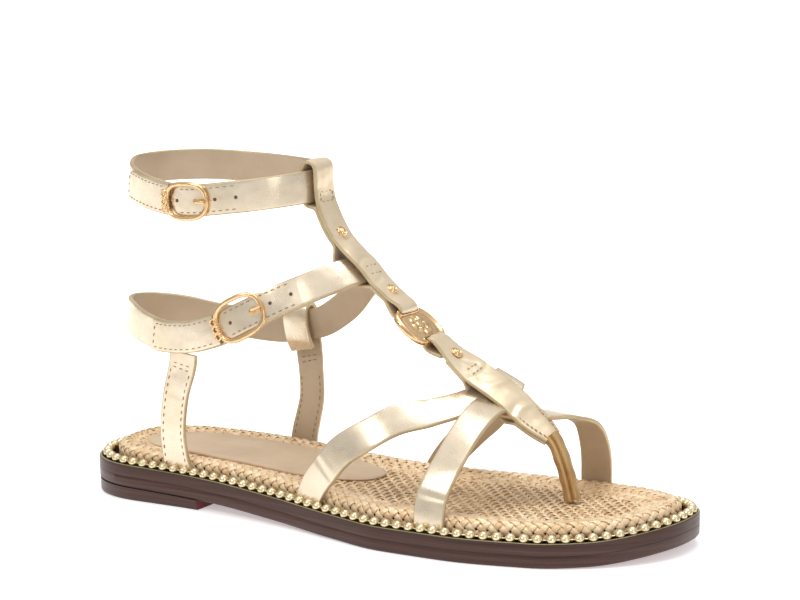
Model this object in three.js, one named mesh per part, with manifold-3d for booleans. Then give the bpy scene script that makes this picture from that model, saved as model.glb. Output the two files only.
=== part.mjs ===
// Gladiator sandal, right foot: a flat stacked sole, a raised footbed with a chain of beads round it,
// two crossing vamp straps with a toe post, a folded instep strap with a medallion, and two buckled
// ankle straps held by a quarter on each side.
// Millimetres. x runs from the back of the heel (0) to the tip of the toe, y points to the inner
// (medial) side of the foot, z points up and the floor is z = 0.
import * as THREE from 'three';
import * as BufferGeometryUtils from 'three/addons/utils/BufferGeometryUtils.js';
import Module from 'manifold-3d';

const wasm = await Module();
wasm.setup();

// ---------------------------------------------------------------- driving dimensions
const LENGTH = 256;             // outsole, heel to toe
const GAP = 0.3;                // clearance between neighbouring pieces
const FOOT_LINE = 3;            // y of the line that the straps are centred on
const SIDE_SHIFT = 5.25;        // moves the outline's own box onto the middle of the frame
const STATIONS = 28;            // sections along the sole

const WELT_THICK = 4.6;         // midsole, which shows as a welt
const OUTSOLE_THICK = 4.3;
const RECESS_DEPTH = 1.7;       // seat behind the welt's lip, for footbed, straps and beads
const LIP = 0.9;                // width of the welt's lip
const HEEL_LENGTH = 61;
const FOOTBED_INSET = 6.9;      // from the outline to the footbed's wall
const FOOTBED_RISE = 5.7;       // crest of the footbed's rolled rim above the welt
const FOOTBED_DISH = 1.9;       // how far its middle lies below that crest

const BEAD_INSET = 2.8;
const BEAD_RADIUS = 1.45;
const BEAD_RAISE = 0.6;         // bead centres above the welt

const STRAP_THICK = 2.0;
const QUARTER_THICK = 1.8;      // the medial quarter, a single thinner piece
const STRAP_WIDTH = 12.6;
const STRAP_INSET = 5.7;        // outline to the middle of a strap where it enters the seat
const EDGE_ROUND = 0.5;
const CROWN = 0.15;             // how far the middle of a strap's face stands proud of its edges
const LAYER = 1.6;              // one layer of the folded instep strap
const LAP = 0.13;               // how far joined layers run into each other
const POST_RADIUS = 3.1;        // toe post

// The last, section by section: half outlines either side, height of the welt's upper edge.
const SOLE_ROWS = [
  { x: 0, lateral: -31.5, medial: 31, welt: 14.8 },
  { x: 30, lateral: -32, medial: 34, welt: 14.3 },
  { x: 50, lateral: -32.2, medial: 36.5, welt: 13.7 },
  { x: 70, lateral: -33.5, medial: 37.5, welt: 12.9 },
  { x: 100, lateral: -38, medial: 36, welt: 11.1 },
  { x: 130, lateral: -45.5, medial: 35.5, welt: 9.7 },
  { x: 155, lateral: -51, medial: 37.5, welt: 9.2 },
  { x: 180, lateral: -51.5, medial: 40, welt: 9.2 },
  { x: 212, lateral: -46, medial: 41, welt: 9.2 },
  { x: 232, lateral: -39, medial: 40.5, welt: 9.7 },
  { x: 256, lateral: -30, medial: 31, welt: 13.2 },
];
const HEEL_ROUND = { length: 32, power: 2.5, tip: 2 };
const TOE_ROUND = { length: 44, power: 2.4, tip: 5 };

// Height of the top of the foot along the line of its ridge.
const RIDGE_ROWS = [
  { x: 100, z: 112 },
  { x: 112, z: 100 },
  { x: 125, z: 88 },
  { x: 134, z: 79 },
  { x: 150, z: 65 },
  { x: 160, z: 56.5 },
  { x: 168, z: 53.5 },
  { x: 178, z: 52.5 },
  { x: 188, z: 52.5 },
  { x: 196, z: 52 },
  { x: 205, z: 50.5 },
  { x: 215, z: 48 },
];
// A foot section is |y|^across + |z|^up = 1 on each side of the ridge.
const SECTION_POWER = {
  lateral: { up: 2.4, across: 1.2 },
  medial: { up: 2.0, across: 1.9 },
};

// Vamp straps: x along the sole, turn round the foot (-90 outer edge, 0 ridge, 90 inner edge),
// lift off the foot, rise above it and tilt of the face to the toe in degrees.
const REAR_VAMP_ROWS = [
  { x: 114.5, turn: -90, lift: 0 },
  { x: 118.5, turn: -86, lift: 0 },
  { x: 124.5, turn: -81, lift: 0 },
  { x: 130.5, turn: -75, lift: 0 },
  { x: 142, turn: -64, lift: 0 },
  { x: 154.5, turn: -47, lift: -0.3 },
  { x: 164, turn: -32, lift: -0.9, tilt: 2 },
  { x: 174, turn: -12, lift: -0.9, rise: -0.6, tilt: 12 },
  { x: 183, turn: 3, lift: -0.9, rise: -4.4, tilt: 24 },
  { x: 189, turn: 14, lift: -0.4, rise: -3.8, tilt: 24 },
  { x: 195, turn: 22, lift: 0, rise: -2.6, tilt: 20 },
  { x: 200, turn: 31, lift: 0, rise: -1.6, tilt: 12 },
  { x: 203.5, turn: 45, lift: 0, tilt: 5 },
  { x: 204, turn: 62, lift: 0 },
  { x: 203, turn: 80, lift: 0 },
  { x: 203, turn: 90, lift: 0 },
];
const FRONT_VAMP_ROWS = [
  { x: 173, turn: -90, lift: 0 },
  { x: 173, turn: -78, lift: 0 },
  { x: 174.5, turn: -67, lift: 0 },
  { x: 176, turn: -56, lift: 0 },
  { x: 177, turn: -40, lift: 0.4, tilt: 4 },
  { x: 177.2, turn: -26, lift: 0.6, rise: -0.8, tilt: 12 },
  { x: 177.2, turn: -12, lift: 0.6, rise: -1.5, tilt: 20 },
  { x: 177, turn: 4, lift: 0.5, rise: -0.2, tilt: 20 },
  { x: 176, turn: 20, lift: 0.5, rise: 4.6, tilt: 16 },
  { x: 171, turn: 38, lift: 0.4, rise: 6.4, tilt: 10 },
  { x: 163, turn: 54, lift: 0.2, rise: 4.4, tilt: 4 },
  { x: 152, turn: 68, lift: 0, rise: 1.5 },
  { x: 143, turn: 78, lift: 0 },
  { x: 137, turn: 86, lift: 0 },
  { x: 135, turn: 90, lift: 0 },
];

// The medallion lies square to the foot line; onPlate gives a place in its own length and height.
const MEDALLION = {
  x: 142.6, y: 2.6, z: 74.9, pitch: 39.5, long: 20, wide: 24.4, thick: 2, power: 2.5,
  slotFrom: 6.3, slotTo: 8.6, slotWide: 13.2,
};
function onPlate(along, above) {
  const pitch = THREE.MathUtils.degToRad(MEDALLION.pitch);
  return {
    x: MEDALLION.x + along * Math.cos(pitch) + above * Math.sin(pitch),
    z: MEDALLION.z - along * Math.sin(pitch) + above * Math.cos(pitch),
  };
}

// Instep strap: one long strip folded in two. Its outer layer runs from the fold over the upper
// ankle strap down to the medallion, round the bar beside the slot and back under itself.
const INSTEP_ROWS = [
  { x: 93.4, z: 129, width: 13.6 },
  { x: 93.6, z: 133.6, width: 13.6 },
  { x: 94.9, z: 136.2, width: 13.6 },
  { x: 97.4, z: 136.6, width: 13.6 },
  { x: 99.4, z: 134.8, width: 13.6 },
  { x: 99.8, z: 131, width: 13.6 },
  { x: 100, z: 126, width: 13.6 },
  { x: 101.2, z: 120, width: 14 },
  { x: 105.8, z: 110.6, width: 14.4 },
  { x: 112, z: 103.2, width: 14.4 },
  { x: 119.4, z: 97.2, width: 14.4 },
  { x: 125.2, z: 91.2, width: 14.2 },
  { ...onPlate(-15.4, 1.6), width: 13.4 },
  { ...onPlate(-11.4, 2.2), width: 12.4 },
  { ...onPlate(-9.2, 2.2), width: 12.2 },
  { ...onPlate(-7.7, 1.5), width: 12.2 },
  { ...onPlate(-7.45, 0), width: 12.2 },
  { ...onPlate(-7.7, -1.5), width: 12.2 },
  { ...onPlate(-9.2, -2.2), width: 12.2 },
  { ...onPlate(-12, -1.6), width: 12.4 },
  { ...onPlate(-15.6, 0.1), width: 12.8 },
];
// Rows of that table: the stretch that a second layer backs, where the lower ankle strap passes
// between the two, and where the strap rounds the medallion's bar.
const INSTEP_OUTER = { from: 7, to: 12, strapRow: 9.75 };
const INSTEP_BAR_ROW = 16;
const TUNNEL_ROOM = 2.9;        // free depth between the layers beyond the ankle strap itself
// The strap's end behind the upper ankle strap, which runs down onto the second layer.
const FOLD_TAIL_ROWS = [
  { x: 93.4, z: 130, width: 13.6 },
  { x: 93.5, z: 124, width: 13.6 },
  { x: 95.6, z: 119.8, width: 13.6 },
  { x: 99.6, z: 118.4, width: 13.6 },
  { x: 102.8, z: 113.6, width: 13.6 },
];
// Lower instep strap: round the medallion's other bar, over the vamp straps, down to the toe post.
const LOWER_ROWS = [
  { ...onPlate(15.6, 0.1), width: 12.4 },
  { ...onPlate(12, -1.6), width: 12.2 },
  { ...onPlate(9.2, -2.2), width: 12.2 },
  { ...onPlate(7.7, -1.5), width: 12.2 },
  { ...onPlate(7.45, 0), width: 12.2 },
  { ...onPlate(7.7, 1.5), width: 12.2 },
  { ...onPlate(9.2, 2.2), width: 12.2 },
  { ...onPlate(12, 2.2), width: 12.8 },
  { x: 158.4, z: 64.6, width: 14 },
  { x: 165, z: 60.2, width: 14.6 },
  { x: 171, z: 56.8, width: 14.6 },
  { x: 177, z: 53.4, width: 14.6 },
  { x: 182.6, z: 49.8, width: 14.6 },
  { x: 188.4, z: 45, width: 14.2 },
  { x: 194.2, z: 41, width: 12.6 },
  { x: 199.4, z: 37.2, width: 8.6 },
];
// Towards the toe it twists, its inner edge rising; shares of its run.
const LOWER_TWIST = { degrees: 19, from: 0.54, to: 0.66 };
const LOWER_BAR_ROW = 4;
const LOWER_BACKED_FROM = 8;
const POST_ROWS = [
  { x: 198.4, z: 37.6 },
  { x: 200.8, z: 34.8 },
  { x: 203.4, z: 29 },
  { x: 205.8, z: 22 },
  { x: 207.8, z: 14 },
];

// Ankle straps: a loop in plan, with the height and the inward lean of its band round the leg.
// deg is 0 at the front of the leg, 90 at the inner side.
const LOW_LOOP = { x: 57, front: 60, back: 48.5, half: 31, egg: 0.12, width: 12.6 };
const LOW_ROWS = [
  { deg: 0, z: 95.2, lean: 48 },
  { deg: 20, z: 92.6, lean: 45 },
  { deg: 36, z: 85.5, lean: 36 },
  { deg: 54, z: 74, lean: 22 },
  { deg: 70, z: 66.2, lean: 10 },
  { deg: 90, z: 62.8, lean: 4 },
  { deg: 117, z: 65.2, lean: 4 },
  { deg: 143, z: 69.4, lean: 8 },
  { deg: 165, z: 71.2, lean: 11 },
  { deg: 190, z: 72, lean: 11 },
  { deg: 215, z: 71.6, lean: 9 },
  { deg: 237, z: 69.2, lean: 5 },
  { deg: 254, z: 66.6, lean: 3 },
  { deg: 268, z: 67.6, lean: 3 },
  { deg: 281, z: 71.6, lean: 6 },
  { deg: 293, z: 77.6, lean: 12 },
  { deg: 305, z: 83.2, lean: 20 },
  { deg: 318, z: 88.2, lean: 32 },
  { deg: 333, z: 92.4, lean: 42 },
  { deg: 348, z: 94.9, lean: 47 },
];
const TOP_LOOP = { x: 55, front: 42, back: 42.5, half: 31, egg: 0.1, width: 12.6 };
const TOP_ROWS = [
  { deg: 0, z: 127.4, lean: 4 },
  { deg: 60, z: 127.8, lean: 2 },
  { deg: 96, z: 129, lean: 0 },
  { deg: 130, z: 130.2, lean: 2 },
  { deg: 180, z: 129.4, lean: 4 },
  { deg: 225, z: 125.8, lean: 3 },
  { deg: 270, z: 122.2, lean: 0 },
  { deg: 300, z: 124.2, lean: 1 },
  { deg: 330, z: 126.2, lean: 3 },
];

// Quarters: the two posts that carry the lower ankle strap.
const LATERAL_QUARTER_ROWS = [
  { x: 46, y: -25.8, z: 11.4, width: 13 },
  { x: 46.4, y: -26.4, z: 20, width: 12.4 },
  { x: 47.8, y: -27.4, z: 32, width: 11.6 },
  { x: 49.4, y: -27.6, z: 44, width: 11.6 },
  { x: 52, y: -26.9, z: 57, width: 12.4 },
  { x: 53, y: -26.4, z: 63, width: 12.4 },
];
const MEDIAL_QUARTER_ROWS = [
  { x: 71, y: 31.6, z: 10.6, width: 12.8 },
  { x: 71.6, y: 32.4, z: 20, width: 12.2 },
  { x: 74, y: 34, z: 34.5, width: 11.4 },
  { x: 73.2, y: 35, z: 46, width: 11.4 },
  { x: 71.8, y: 36.4, z: 52, width: 11.8 },
  { x: 70, y: 38.2, z: 59, width: 11.8 },
  { x: 69, y: 38.3, z: 67, width: 11.8 },
  { x: 68.6, y: 37.6, z: 71.6, width: 11.8 },
  { x: 68.4, y: 34.5, z: 73.9, width: 11.8 },
  { x: 68.6, y: 31.1, z: 72.2, width: 11.8 },
  { x: 69, y: 30, z: 67, width: 11.8 },
  { x: 70, y: 30.7, z: 59.6, width: 11.8 },
  { x: 71, y: 32.2, z: 55, width: 11.6 },
];

// Chapes: the short doubled pieces that hold the buckles, on the outside of the ankle straps.
const CHAPE = { thick: 1.1, low: { from: 247, to: 278 }, top: { from: 221, to: 254 } };

// Hardware.
const WIRE = 1.25;              // radius of a buckle's rod
const PRONG = 0.85;             // radius of its prong
const BOW = 90;                 // a frame bends back by (distance from its middle)^2 / BOW
const BUCKLE_LIFT = 3.4;        // middle of a buckle's frame above the middle of its strap
const LOW_BUCKLE = { deg: 292.3, long: 22.6, high: 17.6 };
const TOP_BUCKLE = { deg: 274.2, long: 20.6, high: 15.4 };
const STUD = { radius: 2.4, height: 1.3 };
const STUD_ROWS = [
  { strap: 'upper', row: 8.25 },
  { strap: 'upper', row: 11.7 },
  { strap: 'lower', row: 7.95 },
];

const UP = new THREE.Vector3(0, 0, 1);
const ACROSS = new THREE.Vector3(0, 1, 0);

// ---------------------------------------------------------------- tables and curves
function smooth(rows, key, at, arg = 'x') {
  const last = rows.length - 1;
  if (at <= rows[0][arg]) return rows[0][key];
  if (at >= rows[last][arg]) return rows[last][key];
  let i = 0;
  while (rows[i + 1][arg] < at) i += 1;
  const slope = (a, b) => (rows[b][key] - rows[a][key]) / (rows[b][arg] - rows[a][arg]);
  const tangent = (k) => {
    if (k === 0) return slope(0, 1);
    if (k === last) return slope(last - 1, last);
    const before = slope(k - 1, k);
    const after = slope(k, k + 1);
    return before * after <= 0 ? 0 : (2 * before * after) / (before + after);
  };
  const step = rows[i + 1][arg] - rows[i][arg];
  const u = (at - rows[i][arg]) / step;
  const h00 = (1 + 2 * u) * (1 - u) ** 2;
  const h10 = u * (1 - u) ** 2;
  const h01 = u * u * (3 - 2 * u);
  const h11 = u * u * (u - 1);
  const bend = h10 * tangent(i) + h11 * tangent(i + 1);
  return h00 * rows[i][key] + h01 * rows[i + 1][key] + step * bend;
}

function columns(rows, keys) {
  // Reads several columns of a table along its length, as one smooth curve per column.
  const parts = [];
  for (let k = 0; k < keys.length; k += 3) {
    const take = (row, n) => (keys[k + n] ? row[keys[k + n]] : 0);
    const points = rows.map((row) => new THREE.Vector3(take(row, 0), take(row, 1), take(row, 2)));
    parts.push(new THREE.CatmullRomCurve3(points, false, 'catmullrom', 0.5));
  }
  return (t) => {
    const out = {};
    parts.forEach((curve, n) => {
      const p = curve.getPoint(t);
      [p.x, p.y, p.z].forEach((value, m) => {
        const key = keys[3 * n + m];
        if (key) out[key] = value;
      });
    });
    return out;
  };
}

// ---------------------------------------------------------------- the last
const roundEnd = (u, power) => (1 - Math.min(Math.max(u, 0), 1) ** power) ** (1 / power);

function edgeY(side, x, inset) {
  const along = ((x - LENGTH / 2) * LENGTH) / (LENGTH - 2 * inset) + LENGTH / 2;
  const raw = smooth(SOLE_ROWS, side, x) + (side === 'lateral' ? inset : -inset);
  if (along < LENGTH / 2) {
    const { length, power, tip } = HEEL_ROUND;
    return tip + (raw - tip) * roundEnd((length - along) / length, power);
  }
  const { length, power, tip } = TOE_ROUND;
  return tip + (raw - tip) * roundEnd((along - LENGTH + length) / length, power);
}

const weltZ = (x) => smooth(SOLE_ROWS, 'welt', x);
const seatZ = (x) => weltZ(x) - RECESS_DEPTH;

function footPoint(x, turn, lift) {
  const side = turn < 0 ? 'lateral' : 'medial';
  const { up, across } = SECTION_POWER[side];
  const angle = THREE.MathUtils.degToRad(Math.min(Math.abs(turn), 90));
  const edge = edgeY(side, x, STRAP_INSET);
  const base = seatZ(x);
  const point = new THREE.Vector3(
    x,
    FOOT_LINE + (edge - FOOT_LINE) * Math.sin(angle) ** (2 / across),
    base + (smooth(RIDGE_ROWS, 'z', x) - base) * Math.cos(angle) ** (2 / up),
  );
  return lift === 0 ? point : point.addScaledVector(footNormal(x, turn), lift);
}

function footNormal(x, turn) {
  const dx = 0.5;
  const dt = 1.5;
  const t0 = Math.max(turn - dt, -89.5);
  const t1 = Math.min(turn + dt, 89.5);
  const along = footPoint(x + dx, turn, 0).sub(footPoint(x - dx, turn, 0));
  const round = footPoint(x, t1, 0).sub(footPoint(x, t0, 0));
  return along.cross(round).normalize();
}

// ---------------------------------------------------------------- solids
function meshed(points, faces) {
  // Triangles on welded points; slivers whose corners weld together are dropped.
  const geometry = new THREE.BufferGeometry().setFromPoints(points);
  geometry.setIndex(faces.flat());
  const welded = BufferGeometryUtils.mergeVertices(geometry, 1e-3);
  const index = Array.from(welded.index.array);
  const kept = [];
  for (let i = 0; i < index.length; i += 3) {
    const [a, b, c] = index.slice(i, i + 3);
    if (a !== b && b !== c && c !== a) kept.push(a, b, c);
  }
  welded.setIndex(kept);
  return welded;
}

function toManifold(geometry) {
  const bare = new THREE.BufferGeometry();
  bare.setAttribute('position', geometry.attributes.position);
  bare.setIndex(geometry.index);
  const welded = BufferGeometryUtils.mergeVertices(bare, 1e-4);
  const mesh = new wasm.Mesh({
    numProp: 3,
    vertProperties: new Float32Array(welded.attributes.position.array),
    triVerts: new Uint32Array(welded.index.array),
  });
  return new wasm.Manifold(mesh);
}

function fromManifold(body) {
  const mesh = body.getMesh();
  const geometry = new THREE.BufferGeometry();
  geometry.setAttribute('position', new THREE.Float32BufferAttribute(mesh.vertProperties, 3));
  geometry.setIndex(Array.from(mesh.triVerts));
  return geometry;
}

function joined(...list) {
  // One solid of the pieces, with the closed pockets between pressed layers filled.
  const bodies = list.map(toManifold).reduce((a, b) => a.add(b)).decompose();
  return fromManifold(bodies.filter((body) => body.volume() > 0).reduce((a, b) => a.add(b)));
}

function cut(geometry, ...tools) {
  return fromManifold(tools.map(toManifold).reduce((a, b) => a.subtract(b), toManifold(geometry)));
}

function soleRing(inset, height, to = LENGTH) {
  // One level of a sole layer: matching points down its outer and inner sides, closest together
  // where an end is round.
  const start = inset;
  const end = Math.min(to, LENGTH - inset);
  const outer = [];
  const inner = [];
  const turn = to < LENGTH ? Math.PI / 2 : Math.PI;
  for (let i = 0; i <= STATIONS; i += 1) {
    const share = (1 - Math.cos((turn * i) / STATIONS)) / (1 - Math.cos(turn));
    const x = start + (end - start) * share;
    outer.push(new THREE.Vector3(x, edgeY('lateral', x, inset), height(x)));
    inner.push(new THREE.Vector3(x, edgeY('medial', x, inset), height(x)));
  }
  return { outer, inner };
}

function soleLayer(rings) {
  // Closed solid through sole rings, listed from the bottom up.
  const points = rings.flatMap((ring) => [...ring.outer, ...[...ring.inner].reverse()]);
  const size = 2 * (STATIONS + 1);
  const faces = [];
  const quad = (a, b, c, d) => faces.push([a, b, c], [a, c, d]);
  for (let r = 0; r + 1 < rings.length; r += 1) {
    for (let i = 0; i < size; i += 1) {
      const j = (i + 1) % size;
      quad(r * size + i, r * size + j, (r + 1) * size + j, (r + 1) * size + i);
    }
  }
  const top = (rings.length - 1) * size;
  for (let i = 0; i < STATIONS; i += 1) {
    const far = size - 1 - i;
    quad(i, far, far - 1, i + 1);
    quad(top + i, top + i + 1, top + far - 1, top + far);
  }
  return meshed(points, faces);
}

function bandSection(width, thick) {
  // Section of a strap: rounded edges and a slight crown, as [across, out] pairs.
  const w = width / 2;
  const t = thick / 2;
  const e = Math.min(EDGE_ROUND, t * 0.6);
  const under = [[-w, -t + e], [-w + e, -t], [w - e, -t], [w, -t + e]];
  const over = [[w, t - e], [w - e, t], [0, t + CROWN], [-w + e, t], [-w, t - e]];
  return [...under, ...over];
}

function loft(frames, section, closed = false) {
  // Closed solid through frames { point, across, out }; section gives a frame's outline as
  // [across, out] pairs, the same number for each.
  const points = [];
  const faces = [];
  frames.forEach((frame) => {
    section(frame).forEach(([a, b]) => {
      points.push(frame.point.clone().addScaledVector(frame.across, a).addScaledVector(frame.out, b));
    });
  });
  const size = points.length / frames.length;
  const rows = closed ? frames.length : frames.length - 1;
  for (let r = 0; r < rows; r += 1) {
    const next = ((r + 1) % frames.length) * size;
    for (let i = 0; i < size; i += 1) {
      const j = (i + 1) % size;
      faces.push([r * size + i, r * size + j, next + j], [r * size + i, next + j, next + i]);
    }
  }
  if (!closed) {
    const end = (frames.length - 1) * size;
    for (let i = 1; i + 1 < size; i += 1) {
      faces.push([0, i + 1, i]);
      faces.push([end, end + i, end + i + 1]);
    }
  }
  return meshed(points, faces);
}

const band = (frames, thick, closed) => loft(frames, ({ width }) => bandSection(width, thick), closed);

function foldedBand(frames, thick, share) {
  // A strip that comes back onto itself, as two strips that overlap near share of its run.
  const i = Math.round(share * (frames.length - 1));
  return joined(band(frames.slice(0, i + 2), thick), band(frames.slice(i), thick));
}

function framesAlong(samples) {
  // Turns samples { point, out, width } into strap frames: across is square to the run and to out.
  return samples.map((sample, i) => {
    const before = samples[Math.max(i - 1, 0)].point;
    const after = samples[Math.min(i + 1, samples.length - 1)].point;
    const run = after.clone().sub(before).normalize();
    const across = sample.out.clone().cross(run).normalize();
    const out = run.clone().cross(across).normalize();
    return turned({ point: sample.point, across, out, width: sample.width }, sample.tilt ?? 0);
  });
}

function turned({ point, across, out, width }, degrees) {
  // One strap frame turned about its run, its across side rising.
  const angle = THREE.MathUtils.degToRad(degrees);
  const [c, s] = [Math.cos(angle), Math.sin(angle)];
  return {
    point,
    across: across.clone().multiplyScalar(c).addScaledVector(out, s),
    out: out.clone().multiplyScalar(c).addScaledVector(across, -s),
    width,
  };
}

function vampBand(rows, steps) {
  const full = rows.map((row) => ({ rise: 0, tilt: 0, ...row }));
  const read = columns(full, ['x', 'turn', 'lift', 'rise', 'tilt']);
  const samples = [];
  for (let i = 0; i <= steps; i += 1) {
    const at = read(i / steps);
    samples.push({
      point: footPoint(at.x, at.turn, at.lift).add(new THREE.Vector3(0, 0, at.rise)),
      tilt: at.tilt,
      out: footNormal(at.x, THREE.MathUtils.clamp(at.turn, -88, 88)),
      width: STRAP_WIDTH,
    });
  }
  return band(framesAlong(samples), STRAP_THICK);
}

function heldFrames(points, across) {
  // Strap frames along points { point, width } of a strip whose width stays parallel to across.
  return points.map(({ point, width }, i) => {
    const before = points[Math.max(i - 1, 0)].point;
    const after = points[Math.min(i + 1, points.length - 1)].point;
    const run = after.clone().sub(before).normalize();
    const side = across.clone().addScaledVector(run, -across.dot(run)).normalize();
    return { point, across: side, out: run.clone().cross(side).normalize(), width };
  });
}

function profileFrames(rows, steps, from = 0, to = rows.length - 1) {
  // A strip that runs in the upright plane of the foot line, between two rows of its table.
  const read = columns(rows, ['x', 'z', 'width']);
  const points = [];
  for (let i = 0; i <= steps; i += 1) {
    const here = read((from + ((to - from) * i) / steps) / (rows.length - 1));
    points.push({ point: new THREE.Vector3(here.x, FOOT_LINE, here.z), width: here.width });
  }
  return heldFrames(points, ACROSS);
}

function sunk(frames, depth) {
  // The same frames moved towards the foot by depth(share of their run).
  return frames.map((frame, i) => ({
    ...frame,
    point: frame.point.clone().addScaledVector(frame.out, -depth(i / (frames.length - 1))),
  }));
}

function rod(points, radius, sides, up, closed = false) {
  // Round rod through points; up is a direction that it never runs along.
  const count = points.length;
  const frames = points.map((point, i) => {
    const before = points[closed ? (i + count - 1) % count : Math.max(i - 1, 0)];
    const after = points[closed ? (i + 1) % count : Math.min(i + 1, count - 1)];
    const run = after.clone().sub(before).normalize();
    const across = up.clone().cross(run).normalize();
    return { point, across, out: run.clone().cross(across).normalize() };
  });
  const circle = Array.from({ length: sides }, (_, i) => {
    const angle = (2 * Math.PI * i) / sides;
    return [radius * Math.cos(angle), radius * Math.sin(angle)];
  });
  return loft(frames, () => circle, closed);
}

// ---------------------------------------------------------------- ankle loops
function loopFrame(loop, rows, deg, lift = 0) {
  const turn = ((deg % 360) + 360) % 360;
  const table = [...rows, { ...rows[0], deg: 360 }];
  const z = smooth(table, 'z', turn, 'deg');
  const lean = THREE.MathUtils.degToRad(smooth(table, 'lean', turn, 'deg'));
  const angle = THREE.MathUtils.degToRad(turn);
  const plan = (a) => {
    const reach = Math.cos(a) > 0 ? loop.front : loop.back;
    return new THREE.Vector3(
      loop.x + reach * Math.cos(a),
      FOOT_LINE + loop.half * Math.sin(a) * (1 + loop.egg * Math.cos(a)),
      0,
    );
  };
  const run = plan(angle + 0.01).sub(plan(angle - 0.01)).normalize();
  const flat = new THREE.Vector3(run.y, -run.x, 0);
  const out = flat.multiplyScalar(Math.cos(lean)).addScaledVector(UP, Math.sin(lean));
  const point = plan(angle).setZ(z).addScaledVector(out, lift);
  return { point, out };
}

function loopBand(loop, rows, { from = 0, to = 360, steps, lift = 0, thick = STRAP_THICK }) {
  // The strap of an ankle loop, whole or between two angles.
  const closed = to - from >= 360;
  const frames = [];
  const total = closed ? steps : steps + 1;
  const level = (deg) => loopFrame(loop, rows, deg, lift);
  for (let i = 0; i < total; i += 1) {
    const deg = from + ((to - from) * i) / steps;
    const here = level(deg);
    const run = level(deg + 0.5).point.sub(level(deg - 0.5).point).normalize();
    const across = here.out.clone().cross(run).normalize();
    const out = run.clone().cross(across).normalize();
    frames.push({ point: here.point, across, out, width: loop.width });
  }
  return band(frames, thick, closed);
}

function bucklePlace(loop, rows, buckle, lift) {
  // Frame of a buckle on its strap: along the strap to the front, up it, and out of it.
  const here = loopFrame(loop, rows, buckle.deg, lift);
  const before = loopFrame(loop, rows, buckle.deg - 6, lift).point;
  const after = loopFrame(loop, rows, buckle.deg + 6, lift).point;
  const along = after.sub(before).normalize();
  const out = here.out.clone().addScaledVector(along, -here.out.dot(along)).normalize();
  return { point: here.point, along, up: out.clone().cross(along).normalize(), out };
}

function buckleFrame(place, { long, high }) {
  // Oval rod with flattened ends, bowed to follow the strap.
  const points = [];
  const count = 18;
  for (let i = 0; i < count; i += 1) {
    const angle = (2 * Math.PI * i) / count;
    const c = Math.cos(angle);
    const s = Math.sin(angle);
    const a = (long / 2 - WIRE) * Math.sign(c) * Math.abs(c) ** 0.75;
    const u = (high / 2 - WIRE) * Math.sign(s) * Math.abs(s) ** 0.75;
    points.push(at(place, a, u, -(a * a) / BOW));
  }
  return rod(points, WIRE, 8, place.out, true);
}

const at = (place, a, u, o) => place.point.clone()
  .addScaledVector(place.along, a).addScaledVector(place.up, u).addScaledVector(place.out, o);

function buckleProng(place, { long }) {
  // Prong from the hole in the strap forward and up onto the frame's front side.
  const front = long / 2 - WIRE;
  const rest = WIRE + PRONG + GAP - (front * front) / BOW;
  const points = [
    at(place, 1.8, 0, STRAP_THICK / 2 + CROWN + GAP + PRONG - BUCKLE_LIFT),
    at(place, 3.4, 0, 0.3 - WIRE),
    at(place, 5.4, 0, rest - 0.5),
    at(place, front + 0.9, 0, rest),
  ];
  return rod(points, PRONG, 6, place.up);
}

// ---------------------------------------------------------------- sole
const belowWelt = (drop) => (x) => weltZ(x) - drop;
const outsoleTop = belowWelt(WELT_THICK + GAP);
const outsoleBottom = (x) => Math.max(weltZ(x) - WELT_THICK - GAP - OUTSOLE_THICK, 0);

function makeOutsole() {
  return soleLayer([
    soleRing(0.7, outsoleBottom),
    soleRing(0.1, (x) => outsoleBottom(x) + 0.9),
    soleRing(0, outsoleTop),
  ]);
}

function makeMidsole() {
  const body = soleLayer([
    soleRing(0, belowWelt(WELT_THICK)),
    soleRing(0, belowWelt(0.5)),
    soleRing(0.35, belowWelt(0)),
  ]);
  const seat = soleLayer([soleRing(LIP, belowWelt(RECESS_DEPTH)), soleRing(LIP, belowWelt(-4))]);
  return cut(body, seat);
}

function makeHeel() {
  const top = (x) => outsoleBottom(x) - GAP;
  return soleLayer([
    soleRing(1, () => 0, HEEL_LENGTH),
    soleRing(0.3, () => 0.8, HEEL_LENGTH),
    soleRing(0.2, top, HEEL_LENGTH),
  ]);
}

function makeFootbed(grow = 0) {
  const level = (rise) => (x) => weltZ(x) + rise + (rise < 0 ? -grow : grow);
  const rows = [
    { inset: 0.4, rise: -RECESS_DEPTH + GAP },
    { inset: 0, rise: 0.6 },
    { inset: 0, rise: FOOTBED_RISE - 2.6 },
    { inset: 1, rise: FOOTBED_RISE - 0.9 },
    { inset: 3.4, rise: FOOTBED_RISE },
    { inset: 8.5, rise: FOOTBED_RISE - 1.1 },
    { inset: 15, rise: FOOTBED_RISE - FOOTBED_DISH },
  ];
  return soleLayer(rows.map(({ inset, rise }) => soleRing(FOOTBED_INSET + inset - grow, level(rise))));
}

function trimmed(strap) {
  // Cuts a strap clear of the seat that it stands in and of the footbed's wall.
  const seat = soleLayer([soleRing(0, belowWelt(12)), soleRing(0, belowWelt(RECESS_DEPTH - GAP))]);
  return cut(strap, seat, makeFootbed(GAP));
}

function makeBeadRand() {
  const ring = soleRing(BEAD_INSET, belowWelt(-BEAD_RAISE));
  const points = [...ring.outer, ...ring.inner.slice(1, -1).reverse()];
  return rod(points, BEAD_RADIUS, 6, UP, true);
}

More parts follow.
